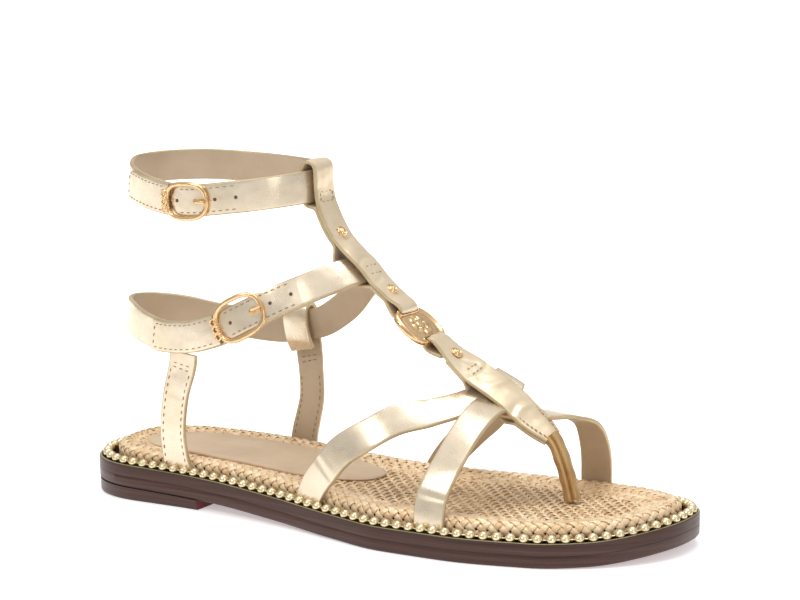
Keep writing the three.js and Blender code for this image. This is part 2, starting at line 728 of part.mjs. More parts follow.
// ---------------------------------------------------------------- straps
function makeVampStraps() {
  const rear = vampBand(REAR_VAMP_ROWS, 27);
  const front = vampBand(FRONT_VAMP_ROWS, 25);
  const last = LOWER_ROWS.length - 1;
  const { smoothstep } = THREE.MathUtils;
  const twist = (t) => LOWER_TWIST.degrees * smoothstep(t, LOWER_TWIST.from, LOWER_TWIST.to);
  const twisted = (frames, from) => frames.map((frame, i) => (
    turned(frame, twist(from + ((1 - from) * i) / (frames.length - 1)))
  ));
  const lower = foldedBand(twisted(profileFrames(LOWER_ROWS, 42), 0), LAYER, LOWER_BAR_ROW / last);
  const backed = profileFrames(LOWER_ROWS, 20, LOWER_BACKED_FROM, last);
  const second = twisted(backed, LOWER_BACKED_FROM / last);
  const backing = band(sunk(second, () => LAYER - LAP), LAYER);
  const centres = POST_ROWS.map(({ x, z }) => new THREE.Vector3(x, FOOT_LINE, z));
  const post = rod(centres, POST_RADIUS, 10, ACROSS);
  return trimmed(joined(rear, front, lower, backing, post));
}

function makeInstepStrap() {
  // The second layer lies against the first, but swings away where the ankle strap passes between.
  const last = INSTEP_ROWS.length - 1;
  const outer = foldedBand(profileFrames(INSTEP_ROWS, 54), LAYER, INSTEP_BAR_ROW / last);
  const { from, to, strapRow } = INSTEP_OUTER;
  const centre = (strapRow - from) / (to - from);
  const swing = (t) => 1 - THREE.MathUtils.smoothstep(Math.abs(t - centre), 0.17, 0.36);
  const depth = (t) => LAYER - LAP + (STRAP_THICK + 2 * GAP + TUNNEL_ROOM) * swing(t);
  const inner = band(sunk(profileFrames(INSTEP_ROWS, 26, from, to), depth), LAYER);
  const tail = band(profileFrames(FOLD_TAIL_ROWS, 10), LAYER);
  return joined(outer, inner, tail);
}

function quarterFrames(rows, side, steps) {
  const read = columns(rows, ['x', 'y', 'z', 'width']);
  const points = [];
  for (let i = 0; i <= steps; i += 1) {
    const here = read(i / steps);
    points.push({ point: new THREE.Vector3(here.x, here.y, here.z), width: here.width });
  }
  return heldFrames(points, new THREE.Vector3(side, 0, 0));
}

function makeLowAnkleStrap() {
  const loop = loopBand(LOW_LOOP, LOW_ROWS, { steps: 48 });
  const quarter = band(quarterFrames(LATERAL_QUARTER_ROWS, -1, 16), STRAP_THICK);
  return trimmed(joined(loop, quarter));
}

function makeTopAnkleStrap() {
  return loopBand(TOP_LOOP, TOP_ROWS, { steps: 40 });
}

function makeChape(loop, rows, { from, to }) {
  const lift = STRAP_THICK / 2 + CROWN + GAP + CHAPE.thick / 2;
  return loopBand(loop, rows, { from, to, steps: 12, lift, thick: CHAPE.thick });
}

function makeMedialQuarter() {
  return trimmed(foldedBand(quarterFrames(MEDIAL_QUARTER_ROWS, 1, 34), QUARTER_THICK, 0.69));
}

// ---------------------------------------------------------------- hardware
function makeMedallion() {
  // Rounded plate with a slot for the strap near each end.
  const plate = new THREE.Shape();
  const count = 32;
  for (let i = 0; i <= count; i += 1) {
    const angle = (2 * Math.PI * i) / count;
    const c = Math.cos(angle);
    const s = Math.sin(angle);
    const x = (MEDALLION.long / 2) * Math.sign(c) * Math.abs(c) ** (2 / MEDALLION.power);
    const y = (MEDALLION.wide / 2) * Math.sign(s) * Math.abs(s) ** (2 / MEDALLION.power);
    if (i === 0) plate.moveTo(x, y);
    else plate.lineTo(x, y);
  }
  const geometry = new THREE.ExtrudeGeometry(plate, { depth: MEDALLION.thick, bevelEnabled: false });
  geometry.translate(0, 0, -MEDALLION.thick / 2);
  const { slotFrom, slotTo, slotWide } = MEDALLION;
  const slots = [-1, 1].map((side) => {
    const slot = new THREE.BoxGeometry(slotTo - slotFrom, slotWide, 3 * MEDALLION.thick);
    return slot.translate((side * (slotFrom + slotTo)) / 2, FOOT_LINE - MEDALLION.y, 0);
  });
  return cut(geometry, ...slots);
}

function makeStud() {
  const { radius, height } = STUD;
  const shares = [[0, 0], [1, 0], [1, 0.35], [0.8, 0.8], [0.4, 1], [0, 1]];
  const profile = shares.map(([r, z]) => new THREE.Vector2(r * radius, z * height));
  const geometry = new THREE.LatheGeometry(profile, 12);
  geometry.rotateX(Math.PI / 2);
  return geometry;
}

// ---------------------------------------------------------------- assembly
const finish = (color, roughness, metalness) => ({ color, roughness, metalness });
const GOLD_LEATHER = finish(0xdecdac, 0.35, 0.45);
const BROWN = finish(0x58443c, 0.5, 0);
const WEAVE = finish(0xd7b487, 0.7, 0.1);
const METAL = finish(0xe1b46e, 0.25, 0.9);
const PALE_METAL = finish(0xf0e1aa, 0.25, 0.9);

const shoe = new THREE.Group();
shoe.position.set(-LENGTH / 2, SIDE_SHIFT, 0);

function add(name, geometry, look) {
  const mesh = new THREE.Mesh(geometry, new THREE.MeshStandardMaterial(look));
  mesh.name = name;
  shoe.add(mesh);
  return mesh;
}

add('outsole', makeOutsole(), BROWN);
add('midsole', makeMidsole(), BROWN);
add('heel', makeHeel(), BROWN);
add('footbed', makeFootbed(), WEAVE);
add('bead_rand', makeBeadRand(), PALE_METAL);
add('upper_vamp_straps', makeVampStraps(), GOLD_LEATHER);
add('upper_instep_strap', makeInstepStrap(), GOLD_LEATHER);
add('upper_low_ankle_strap', makeLowAnkleStrap(), GOLD_LEATHER);
add('upper_top_ankle_strap', makeTopAnkleStrap(), GOLD_LEATHER);
add('upper_medial_quarter', makeMedialQuarter(), GOLD_LEATHER);
add('upper_low_chape', makeChape(LOW_LOOP, LOW_ROWS, CHAPE.low), GOLD_LEATHER);
add('upper_top_chape', makeChape(TOP_LOOP, TOP_ROWS, CHAPE.top), GOLD_LEATHER);

const lowPlace = bucklePlace(LOW_LOOP, LOW_ROWS, LOW_BUCKLE, BUCKLE_LIFT);
const topPlace = bucklePlace(TOP_LOOP, TOP_ROWS, TOP_BUCKLE, BUCKLE_LIFT);
add('low_buckle_frame', buckleFrame(lowPlace, LOW_BUCKLE), METAL);
add('low_buckle_prong', buckleProng(lowPlace, LOW_BUCKLE), METAL);
add('top_buckle_frame', buckleFrame(topPlace, TOP_BUCKLE), METAL);
add('top_buckle_prong', buckleProng(topPlace, TOP_BUCKLE), METAL);

const medallion = add('medallion', makeMedallion(), METAL);
medallion.position.set(MEDALLION.x, MEDALLION.y, MEDALLION.z);
medallion.rotation.y = THREE.MathUtils.degToRad(MEDALLION.pitch);

STUD_ROWS.forEach(({ strap, row }, i) => {
  const rows = strap === 'upper' ? INSTEP_ROWS : LOWER_ROWS;
  const frame = profileFrames(rows, 2, row - 0.2, row + 0.2)[1];
  const stud = add(`stud_${i + 1}`, makeStud(), METAL);
  stud.position.copy(frame.point).addScaledVector(frame.out, LAYER / 2 + CROWN + GAP);
  stud.quaternion.setFromUnitVectors(UP, frame.out);
});

export default shoe;
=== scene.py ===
"""Gladiator sandal, right foot: the finished look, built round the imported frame.

Lengths are millimetres in the last's own frame: x runs from the back of the heel (0) to the tip of
the toe, y points to the inner side of the foot and z up from the floor. to_row() turns them into the
frame's metres.
"""

import logging
import math
from dataclasses import dataclass, field
from enum import Enum
from typing import Callable, Sequence

import bpy
import numpy as np
from mathutils import Matrix, Vector, noise


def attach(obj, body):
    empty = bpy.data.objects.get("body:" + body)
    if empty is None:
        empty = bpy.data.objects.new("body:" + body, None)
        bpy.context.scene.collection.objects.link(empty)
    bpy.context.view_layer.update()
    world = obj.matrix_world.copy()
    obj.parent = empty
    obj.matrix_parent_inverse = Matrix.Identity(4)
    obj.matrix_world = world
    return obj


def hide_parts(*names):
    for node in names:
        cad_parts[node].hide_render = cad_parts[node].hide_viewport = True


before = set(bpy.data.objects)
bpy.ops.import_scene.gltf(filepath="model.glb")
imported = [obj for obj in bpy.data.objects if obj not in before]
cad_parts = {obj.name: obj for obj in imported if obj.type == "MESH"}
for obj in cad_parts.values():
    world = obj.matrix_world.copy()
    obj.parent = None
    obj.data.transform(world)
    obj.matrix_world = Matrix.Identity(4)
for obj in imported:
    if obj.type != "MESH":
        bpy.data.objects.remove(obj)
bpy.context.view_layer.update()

logging.basicConfig(level=logging.INFO, format="%(message)s")
LOG = logging.getLogger("sandal")

MM = 0.001
LENGTH = 256.0
FOOT_LINE = 3.0
ROW_SHIFT = np.array([-LENGTH / 2, 5.25, 0.0])
SEED = 7

Array = np.ndarray
Rows = Sequence[Sequence[float]]


# ------------------------------------------------------------------ numbers and curves
def to_row(points: Array) -> Array:
    """Turns millimetres in the last's frame into metres in the row's frame."""
    return (np.asarray(points, float) + ROW_SHIFT) * MM


def unit(vectors: Array) -> Array:
    """Scales each vector to length one."""
    size = np.linalg.norm(vectors, axis=-1, keepdims=True)
    return vectors / np.maximum(size, 1e-12)


def smoothstep(low: float, high: float, value: Array) -> Array:
    """Rises smoothly from 0 at low to 1 at high."""
    share = np.clip((np.asarray(value, float) - low) / (high - low), 0, 1)
    return share * share * (3 - 2 * share)


def catmull(rows: Array, share: Array) -> Array:
    """Follows a Catmull-Rom curve through the rows of a table.

    Args:
        rows: One row for each knot.
        share: Places along the table, 0 at its first row and 1 at its last.

    Returns:
        One row of values for each place.
    """
    rows = np.asarray(rows, float)
    padded = np.vstack([2 * rows[0] - rows[1], rows, 2 * rows[-1] - rows[-2]])
    place = np.clip(np.asarray(share, float), 0, 1) * (len(rows) - 1)
    knot = np.minimum(place.astype(int), len(rows) - 2)
    u = (place - knot)[:, None]
    p0, p1, p2, p3 = (padded[knot + n] for n in range(4))
    t1, t2 = (p2 - p0) / 2, (p3 - p1) / 2
    return (2 * p1 - 2 * p2 + t1 + t2) * u**3 + (3 * p2 - 3 * p1 - 2 * t1 - t2) * u**2 + t1 * u + p1


class Profile:
    """A smooth curve through a table of places and values that never overshoots."""

    def __init__(self, places: Sequence[float], values: Sequence[float]) -> None:
        """Works out the slope at each row."""
        self.x = np.asarray(places, float)
        self.y = np.asarray(values, float)
        slope = np.diff(self.y) / np.diff(self.x)
        before, after = slope[:-1], slope[1:]
        total = np.where(before + after == 0, 1.0, before + after)
        inner = np.where(before * after <= 0, 0.0, 2 * before * after / total)
        self.slope = np.concatenate([[slope[0]], inner, [slope[-1]]])

    def __call__(self, at: Array) -> Array:
        """Reads the curve at one or more places."""
        at = np.clip(np.asarray(at, float), self.x[0], self.x[-1])
        i = np.clip(np.searchsorted(self.x, at, side="right") - 1, 0, len(self.x) - 2)
        step = self.x[i + 1] - self.x[i]
        u = (at - self.x[i]) / step
        h00 = (1 + 2 * u) * (1 - u) ** 2
        h10 = u * (1 - u) ** 2
        h01 = u * u * (3 - 2 * u)
        h11 = u * u * (u - 1)
        bend = h10 * self.slope[i] + h11 * self.slope[i + 1]
        return h00 * self.y[i] + h01 * self.y[i + 1] + step * bend


# ------------------------------------------------------------------ the last
class Side(Enum):
    """The two sides of the foot."""

    LATERAL = "lateral"
    MEDIAL = "medial"


@dataclass(frozen=True)
class End:
    """How the outline rounds off at the heel or the toe."""

    length: float
    power: float
    tip: float

    def share(self, depth: Array) -> Array:
        """Half width left at a depth into the rounding, as a share of the full one."""
        u = np.clip(depth / self.length, 0, 1)
        return (1 - u**self.power) ** (1 / self.power)


class Last:
    """The foot that the sandal is made on: outline, sole line and the surface under the straps."""

    SOLE = (
        # x, lateral, medial, welt
        (0, -31.5, 31, 14.8), (30, -32, 34, 14.3), (50, -32.2, 36.5, 13.7), (70, -33.5, 37.5, 12.9),
        (100, -38, 36, 11.1), (130, -45.5, 35.5, 9.7), (155, -51, 37.5, 9.2), (180, -51.5, 40, 9.2),
        (212, -46, 41, 9.2), (232, -39, 40.5, 9.7), (256, -30, 31, 13.2),
    )
    RIDGE = (
        # x, z
        (100, 112), (112, 100), (125, 88), (134, 79), (150, 65), (160, 56.5), (168, 53.5),
        (178, 52.5), (188, 52.5), (196, 52), (205, 50.5), (215, 48),
    )
    HEEL = End(32, 2.5, 2)
    TOE = End(44, 2.4, 5)
    SECTION = {Side.LATERAL: (2.4, 1.2), Side.MEDIAL: (2.0, 1.9)}
    RECESS = 1.7
    STRAP_INSET = 5.7

    def __init__(self) -> None:
        """Fits a curve to each column of the tables."""
        x, lateral, medial, welt = zip(*self.SOLE)
        self.half = {Side.LATERAL: Profile(x, lateral), Side.MEDIAL: Profile(x, medial)}
        self.welt = Profile(x, welt)
        self.ridge = Profile(*zip(*self.RIDGE))

    def edge(self, side: Side, x: Array, inset: Array) -> Array:
        """Half outline on one side of the foot, moved in by inset."""
        x = np.asarray(x, float)
        middle = LENGTH / 2
        along = (x - middle) * LENGTH / (LENGTH - 2 * inset) + middle
        raw = self.half[side](x) + (inset if side is Side.LATERAL else -inset)
        heel = self.HEEL.tip + (raw - self.HEEL.tip) * self.HEEL.share(self.HEEL.length - along)
        toe_depth = along - LENGTH + self.TOE.length
        toe = self.TOE.tip + (raw - self.TOE.tip) * self.TOE.share(toe_depth)
        return np.where(along < middle, heel, toe)

    def foot(self, x: Array, turn: Array, lift: Array) -> Array:
        """Points on the foot: turn is -90 at its outer edge, 0 on the ridge and 90 inside."""
        x, turn = np.broadcast_arrays(np.asarray(x, float), np.asarray(turn, float))
        points = np.zeros(x.shape + (3,))
        for side in Side:
            here = (turn < 0) if side is Side.LATERAL else (turn >= 0)
            up, across = self.SECTION[side]
            angle = np.radians(np.minimum(np.abs(turn), 90))
            edge = self.edge(side, x, self.STRAP_INSET)
            base = self.welt(x) - self.RECESS
            y = FOOT_LINE + (edge - FOOT_LINE) * np.sin(angle) ** (2 / across)
            z = base + (self.ridge(x) - base) * np.maximum(np.cos(angle), 0) ** (2 / up)
            points[here] = np.stack([x, y, z], -1)[here]
        if not np.any(lift):
            return points
        return points + self.foot_normal(x, turn) * np.asarray(lift, float)[..., None]

    def foot_normal(self, x: Array, turn: Array) -> Array:
        """Directions square to the foot's surface."""
        dx, dt, limit = 0.5, 1.5, 89.5
        none = np.zeros_like(x)
        along = self.foot(x + dx, turn, none) - self.foot(x - dx, turn, none)
        low = np.maximum(turn - dt, -limit)
        high = np.minimum(turn + dt, limit)
        return unit(np.cross(along, self.foot(x, high, none) - self.foot(x, low, none)))

    def ring(self, inset: float, stations: int, end: float = LENGTH) -> Array:
        """Outline moved in by inset: down the lateral side and back up the medial one, z left at 0."""
        turn = math.pi / 2 if end < LENGTH else math.pi
        share = (1 - np.cos(turn * np.arange(stations + 1) / stations)) / (1 - math.cos(turn))
        x = inset + (min(end, LENGTH - inset) - inset) * share
        zero = np.zeros_like(x)
        outer = np.stack([x, self.edge(Side.LATERAL, x, inset), zero], -1)
        inner = np.stack([x, self.edge(Side.MEDIAL, x, inset), zero], -1)
        return np.vstack([outer, inner[::-1]])


LAST = Last()


# ------------------------------------------------------------------ meshes
@dataclass
class Shape:
    """A mesh under construction, in millimetres in the last's frame."""

    points: list[Array] = field(default_factory=list)
    faces: list[list[int]] = field(default_factory=list)
    slots: list[int] = field(default_factory=list)
    coords: list[Array] = field(default_factory=list)
    count: int = 0

    def add(self, points: Array, faces: Sequence[Sequence[int]], slots: Sequence[int] | int = 0,
            coords: Array | None = None) -> None:
        """Adds a block of points and faces.

        Args:
            points: Places, one a row.
            faces: Corners of each face, as places in points.
            slots: Material slot of each face, or one for all.
            coords: Two surface coordinates for each point, in millimetres.
        """
        points = np.asarray(points, float).reshape(-1, 3)
        self.points.append(points)
        self.coords.append(np.zeros((len(points), 2)) if coords is None else coords.reshape(-1, 2))
        self.faces.extend([[corner + self.count for corner in face] for face in faces])
        self.slots.extend([slots] * len(faces) if isinstance(slots, int) else slots)
        self.count += len(points)

    def build(self, name: str, materials: Sequence[bpy.types.Material],
              sharp: float = 45) -> bpy.types.Object:
        """Makes the object, shaded smooth except across edges sharper than sharp degrees."""
        mesh = bpy.data.meshes.new(name)
        mesh.from_pydata(to_row(np.vstack(self.points)).tolist(), [], self.faces)
        for material in materials:
            mesh.materials.append(material)
        mesh.polygons.foreach_set("material_index", self.slots)
        uv = mesh.uv_layers.new(name="UVMap")
        corners = np.zeros(len(mesh.loops), int)
        mesh.loops.foreach_get("vertex_index", corners)
        uv.data.foreach_set("uv", (np.vstack(self.coords)[corners] * MM).ravel())
        mesh.polygons.foreach_set("use_smooth", [True] * len(mesh.polygons))
        mesh.set_sharp_from_angle(angle=math.radians(sharp))
        mesh.validate()
        piece = bpy.data.objects.new(name, mesh)
        bpy.context.scene.collection.objects.link(piece)
        return piece


def skin(rings: Array, closed: bool = False, caps: bool = True) -> list[list[int]]:
    """Faces through rings of points.

    Args:
        rings: Points by ring and place, each ring a closed outline.
        closed: Whether the last ring joins the first.
        caps: Whether open ends are closed with one face each.

    Returns:
        The faces, corner by corner.
    """
    count, size = rings.shape[:2]
    faces = []
    for r in range(count if closed else count - 1):
        a, b = r * size, ((r + 1) % count) * size
        faces += [[a + i, a + (i + 1) % size, b + (i + 1) % size, b + i] for i in range(size)]
    if caps and not closed:
        last = (count - 1) * size
        faces += [list(range(size))[::-1], [last + i for i in range(size)]]
    return faces


@dataclass
class Run:
    """The middle line of a strap with its directions: across its width and out of its face."""

    point: Array
    across: Array
    out: Array
    width: Array

    @property
    def length(self) -> Array:
        """Distance along the line at each of its points."""
        steps = np.linalg.norm(np.diff(self.point, axis=0), axis=1)
        return np.concatenate([[0], np.cumsum(steps)])

    def moved(self, depth: Array | float) -> "Run":
        """The same run moved out of its face by depth."""
        depth = np.broadcast_to(depth, len(self.point))
        return Run(self.point + self.out * depth[:, None], self.across, self.out, self.width)

    def turned(self, degrees: Array) -> "Run":
        """The same run twisted about its line, its across side rising."""
        angle = np.radians(degrees)[:, None]
        across = self.across * np.cos(angle) + self.out * np.sin(angle)
        out = self.out * np.cos(angle) - self.across * np.sin(angle)
        return Run(self.point, across, out, self.width)

    def at(self, along: Array, across: Array, out: Array | float = 0) -> tuple[Array, Array, Array]:
        """Places on the strap.

        Args:
            along: Distances from its start.
            across: Distances from its middle line.
            out: Distances out of its middle surface.

        Returns:
            The points, the directions along the strap and the directions out of it.
        """
        reach = self.length
        along = np.asarray(along, float)

        def read(values: Array) -> Array:
            """Values at the distances along the run."""
            return np.stack([np.interp(along, reach, values[:, k]) for k in range(3)], -1)

        side, face = unit(read(self.across)), unit(read(self.out))
        across = np.broadcast_to(across, along.shape)[:, None]
        out = np.broadcast_to(out, along.shape)[:, None]
        return read(self.point) + side * across + face * out, unit(np.cross(side, face)), face


def even(read: Callable[[Array], Array], step: float, dense: int = 1200) -> Array:
    """Shares at which a curve is read so that its points lie step apart."""
    share = np.linspace(0, 1, dense)
    points = read(share)[:, :3]
    length = np.concatenate([[0], np.cumsum(np.linalg.norm(np.diff(points, axis=0), axis=1))])
    count = max(int(round(length[-1] / step)), 3)
    return np.interp(np.linspace(0, length[-1], count + 1), length, share)


def tangents(points: Array, closed: bool = False) -> Array:
    """Directions along a line of points."""
    if closed:
        return unit(np.roll(points, -1, axis=0) - np.roll(points, 1, axis=0))
    return unit(np.gradient(points, axis=0))


def free_run(points: Array, out: Array, width: Array) -> Run:
    """A run whose width lies square to its line and to the given outward directions."""
    line = tangents(points)
    across = unit(np.cross(out, line))
    return Run(points, across, unit(np.cross(line, across)), width)


def held_run(points: Array, across: Array, width: Array) -> Run:
    """A run whose width keeps as near as it can to one direction."""
    line = tangents(points)
    side = unit(across[None] - line * (line @ across)[:, None])
    return Run(points, side, unit(np.cross(line, side)), width)


@dataclass(frozen=True)
class Crease:
    """A soft trough or ridge pressed into a strap's face, straight or bowed."""

    along: float
    across: float
    span: float
    deep: float
    soft: float = 0.8
    turn: float = 90.0
    bow: float = 0.0

    def depth(self, along: Array, across: Array) -> Array:
        """Height that the crease adds at places on the strap."""
        angle = math.radians(self.turn)
        u, v = along - self.along, across - self.across
        run = u * math.cos(angle) + v * math.sin(angle)
        off = -u * math.sin(angle) + v * math.cos(angle) - self.bow * run * run
        return self.deep * np.exp(-((off / self.soft) ** 2)) * np.exp(-((run / (self.span / 2)) ** 4))


@dataclass
class Strap:
    """A strap of folded leather with rounded edges: metallic outside, lining inside."""

    name: str
    run: Run
    thick: float = 1.9
    crown: float = 0.16
    edge: float = 0.55
    creases: tuple[Crease, ...] = ()
    crumple: float = 0.0
    crumple_size: float = 7.0
    closed: bool = False
    round_start: bool = False
    ACROSS = 16

    def section(self, half: Array) -> tuple[Array, Array, Array]:
        """Outline at each point: distances across and out, and each place's kind, 0 outside to 2 lining."""
        e, t = self.edge, self.thick / 2
        corner = np.linspace(0, np.pi / 2, 4)[:-1]
        flat = np.linspace(-1, 1, self.ACROSS + 1)
        a, b, kind = [], [], []
        w = half[:, None]
        for share in flat[::-1]:
            a.append((w - e) * share)
            b.append(np.full_like(w, t) + self.crown * (1 - share**2))
            kind.append(0)
        for angle in corner[1:]:
            a.append(-(w - e) - e * math.sin(angle))
            b.append(np.full_like(w, t - e) + e * math.cos(angle))
            kind.append(1)
        for angle in corner:
            a.append(-(w - e) - e * math.cos(angle))
            b.append(np.full_like(w, -(t - e)) - e * math.sin(angle))
            kind.append(1)
        for share in np.linspace(-1, 1, 7):
            a.append((w - e) * share)
            b.append(np.full_like(w, -t))
            kind.append(2)
        for angle in corner[::-1]:
            a.append((w - e) + e * math.cos(angle))
            b.append(np.full_like(w, -(t - e)) - e * math.sin(angle))
            kind.append(1)
        for angle in corner[1:][::-1]:
            a.append((w - e) + e * math.sin(angle))
            b.append(np.full_like(w, t - e) + e * math.cos(angle))
            kind.append(1)
        return np.hstack(a), np.hstack(b), np.array(kind)

    def widths(self) -> Array:
        """Half width at each point, drawn in to a round tip where the start is round."""
        half = self.run.width / 2
        if self.round_start:
            depth = np.clip(1 - self.run.length / (half * 0.8), 0, 0.999)
            half = half * np.sqrt(1 - depth**2)
        return np.maximum(half, self.edge + 0.15)

    def build(self, materials: Sequence[bpy.types.Material]) -> bpy.types.Object:
        """Makes the strap with outside, edge and lining materials, in that order."""
        half = self.widths()
        a, b, kind = self.section(half)
        along = np.broadcast_to(self.run.length[:, None], a.shape)
        relief = np.zeros_like(a)
        for crease in self.creases:
            relief += crease.depth(along, a)
        face = np.where(kind == 0, 1.0, np.where(kind == 1, 0.5, 0.6))[None]
        b = b + relief * face
        run = self.run
        points = run.point[:, None] + run.across[:, None] * a[..., None] + run.out[:, None] * b[..., None]
        if self.crumple:
            flat = points.reshape(-1, 3) / self.crumple_size
            waves = np.array([noise.noise(Vector(p)) + 0.5 * noise.noise(Vector(p * 2.3)) for p in flat])
            points += run.out[:, None] * (waves.reshape(a.shape) * self.crumple * face)[..., None]
        faces = skin(points, self.closed)
        mixed = kind != np.roll(kind, -1)
        # slot 1 takes the edge material, which is painted shade on the rounded edges
        slot = np.where(mixed, 1, kind)
        count = a.shape[0] if self.closed else a.shape[0] - 1
        slots = list(np.tile(slot, count)) + ([] if self.closed else [1, 1])
        shape = Shape()
        shape.add(points, faces, [int(s) for s in slots], np.stack([along, a], -1))
        return shape.build(self.name, materials, sharp=60)


def vamp_run(rows: Rows, width: float, step: float = 0.9) -> Run:
    """A strap that lies on the foot, through rows of x, turn, lift, rise and tilt to the toe."""
    table = np.array(rows, float)

    def read(share: Array) -> Array:
        """Points at shares of the table."""
        x, turn, lift, rise, _ = catmull(table, share).T
        points = LAST.foot(x, turn, lift)
        points[:, 2] += rise
        return points

    share = even(read, step)
    x, turn, _, _, tilt = catmull(table, share).T
    points = read(share)
    out = LAST.foot_normal(x, np.clip(turn, -88, 88))
    toe = np.cross(tangents(points), out)
    angle = np.radians(tilt)[:, None]
    return free_run(points, unit(out * np.cos(angle) + toe * np.sin(angle)), np.full(len(x), width))


def profile_run(rows: Rows, step: float = 0.9, low: float = 0, high: float = 1) -> Run:
    """A strap in the upright plane of the foot line, through rows of x, z and width."""
    table = np.array([(x, FOOT_LINE, z, w) for x, z, w in rows], float)
    share = low + (high - low) * even(lambda s: catmull(table, low + (high - low) * s), step)
    values = catmull(table, share)
    return held_run(values[:, :3], np.array([0.0, 1.0, 0.0]), values[:, 3])


def space_run(rows: Rows, across: tuple[float, float, float], step: float = 0.9) -> Run:
    """A strap through rows of x, y, z and width whose width keeps to one direction."""
    table = np.array(rows, float)
    values = catmull(table, even(lambda s: catmull(table, s), step))
    return held_run(values[:, :3], np.array(across), values[:, 3])


@dataclass(frozen=True)
class Loop:
    """An ankle strap: its outline in plan and its height and lean round the leg."""

    x: float
    front: float
    back: float
    half: float
    egg: float
    width: float
    rows: Rows

    def frame(self, deg: Array, lift: float = 0) -> tuple[Array, Array]:
        """Points and outward directions at angles round the leg, 0 in front and 90 inside."""
        table = list(self.rows) + [(360, *self.rows[0][1:])]
        turns, heights, leans = zip(*table)
        turn = np.mod(np.asarray(deg, float), 360)
        lean = np.radians(Profile(turns, leans)(turn))

        def plan(a: Array) -> Array:
            """Points of the outline seen from above."""
            reach = np.where(np.cos(a) > 0, self.front, self.back)
            x = self.x + reach * np.cos(a)
            y = FOOT_LINE + self.half * np.sin(a) * (1 + self.egg * np.cos(a))
            return np.stack([x, y, np.zeros_like(a)], -1)

        angle = np.radians(turn)
        run = unit(plan(angle + 0.01) - plan(angle - 0.01))
        flat = np.stack([run[:, 1], -run[:, 0], np.zeros(len(run))], -1)
        out = flat * np.cos(lean)[:, None] + np.array([0, 0, 1.0]) * np.sin(lean)[:, None]
        point = plan(angle)
        point[:, 2] = Profile(turns, heights)(turn)
        return point + out * lift, out

    def run(self, low: float = 0, high: float = 360, lift: float = 0, step: float = 1.0,
            width: float | None = None) -> Run:
        """The strap between two angles."""
        closed = high - low >= 360
        share = even(lambda s: self.frame(low + (high - low) * s, lift)[0], step)
        share = share[:-1] if closed else share
        deg = low + (high - low) * share
        point, out = self.frame(deg, lift)
        ahead = self.frame(deg + 0.5, lift)[0]
        behind = self.frame(deg - 0.5, lift)[0]
        line = unit(ahead - behind)
        across = unit(np.cross(out, line))
        return Run(point, across, unit(np.cross(line, across)), np.full(len(deg), width or self.width))


# ------------------------------------------------------------------ finishes
def linear(red: float, green: float, blue: float) -> tuple[float, float, float, float]:
    """Turns a colour on the 0 to 255 scale into the renderer's linear one."""
    def channel(value: float) -> float:
        """One channel in linear light."""
        value /= 255
        return value / 12.92 if value <= 0.04045 else ((value + 0.055) / 1.055) ** 2.4
    return (channel(red), channel(green), channel(blue), 1.0)


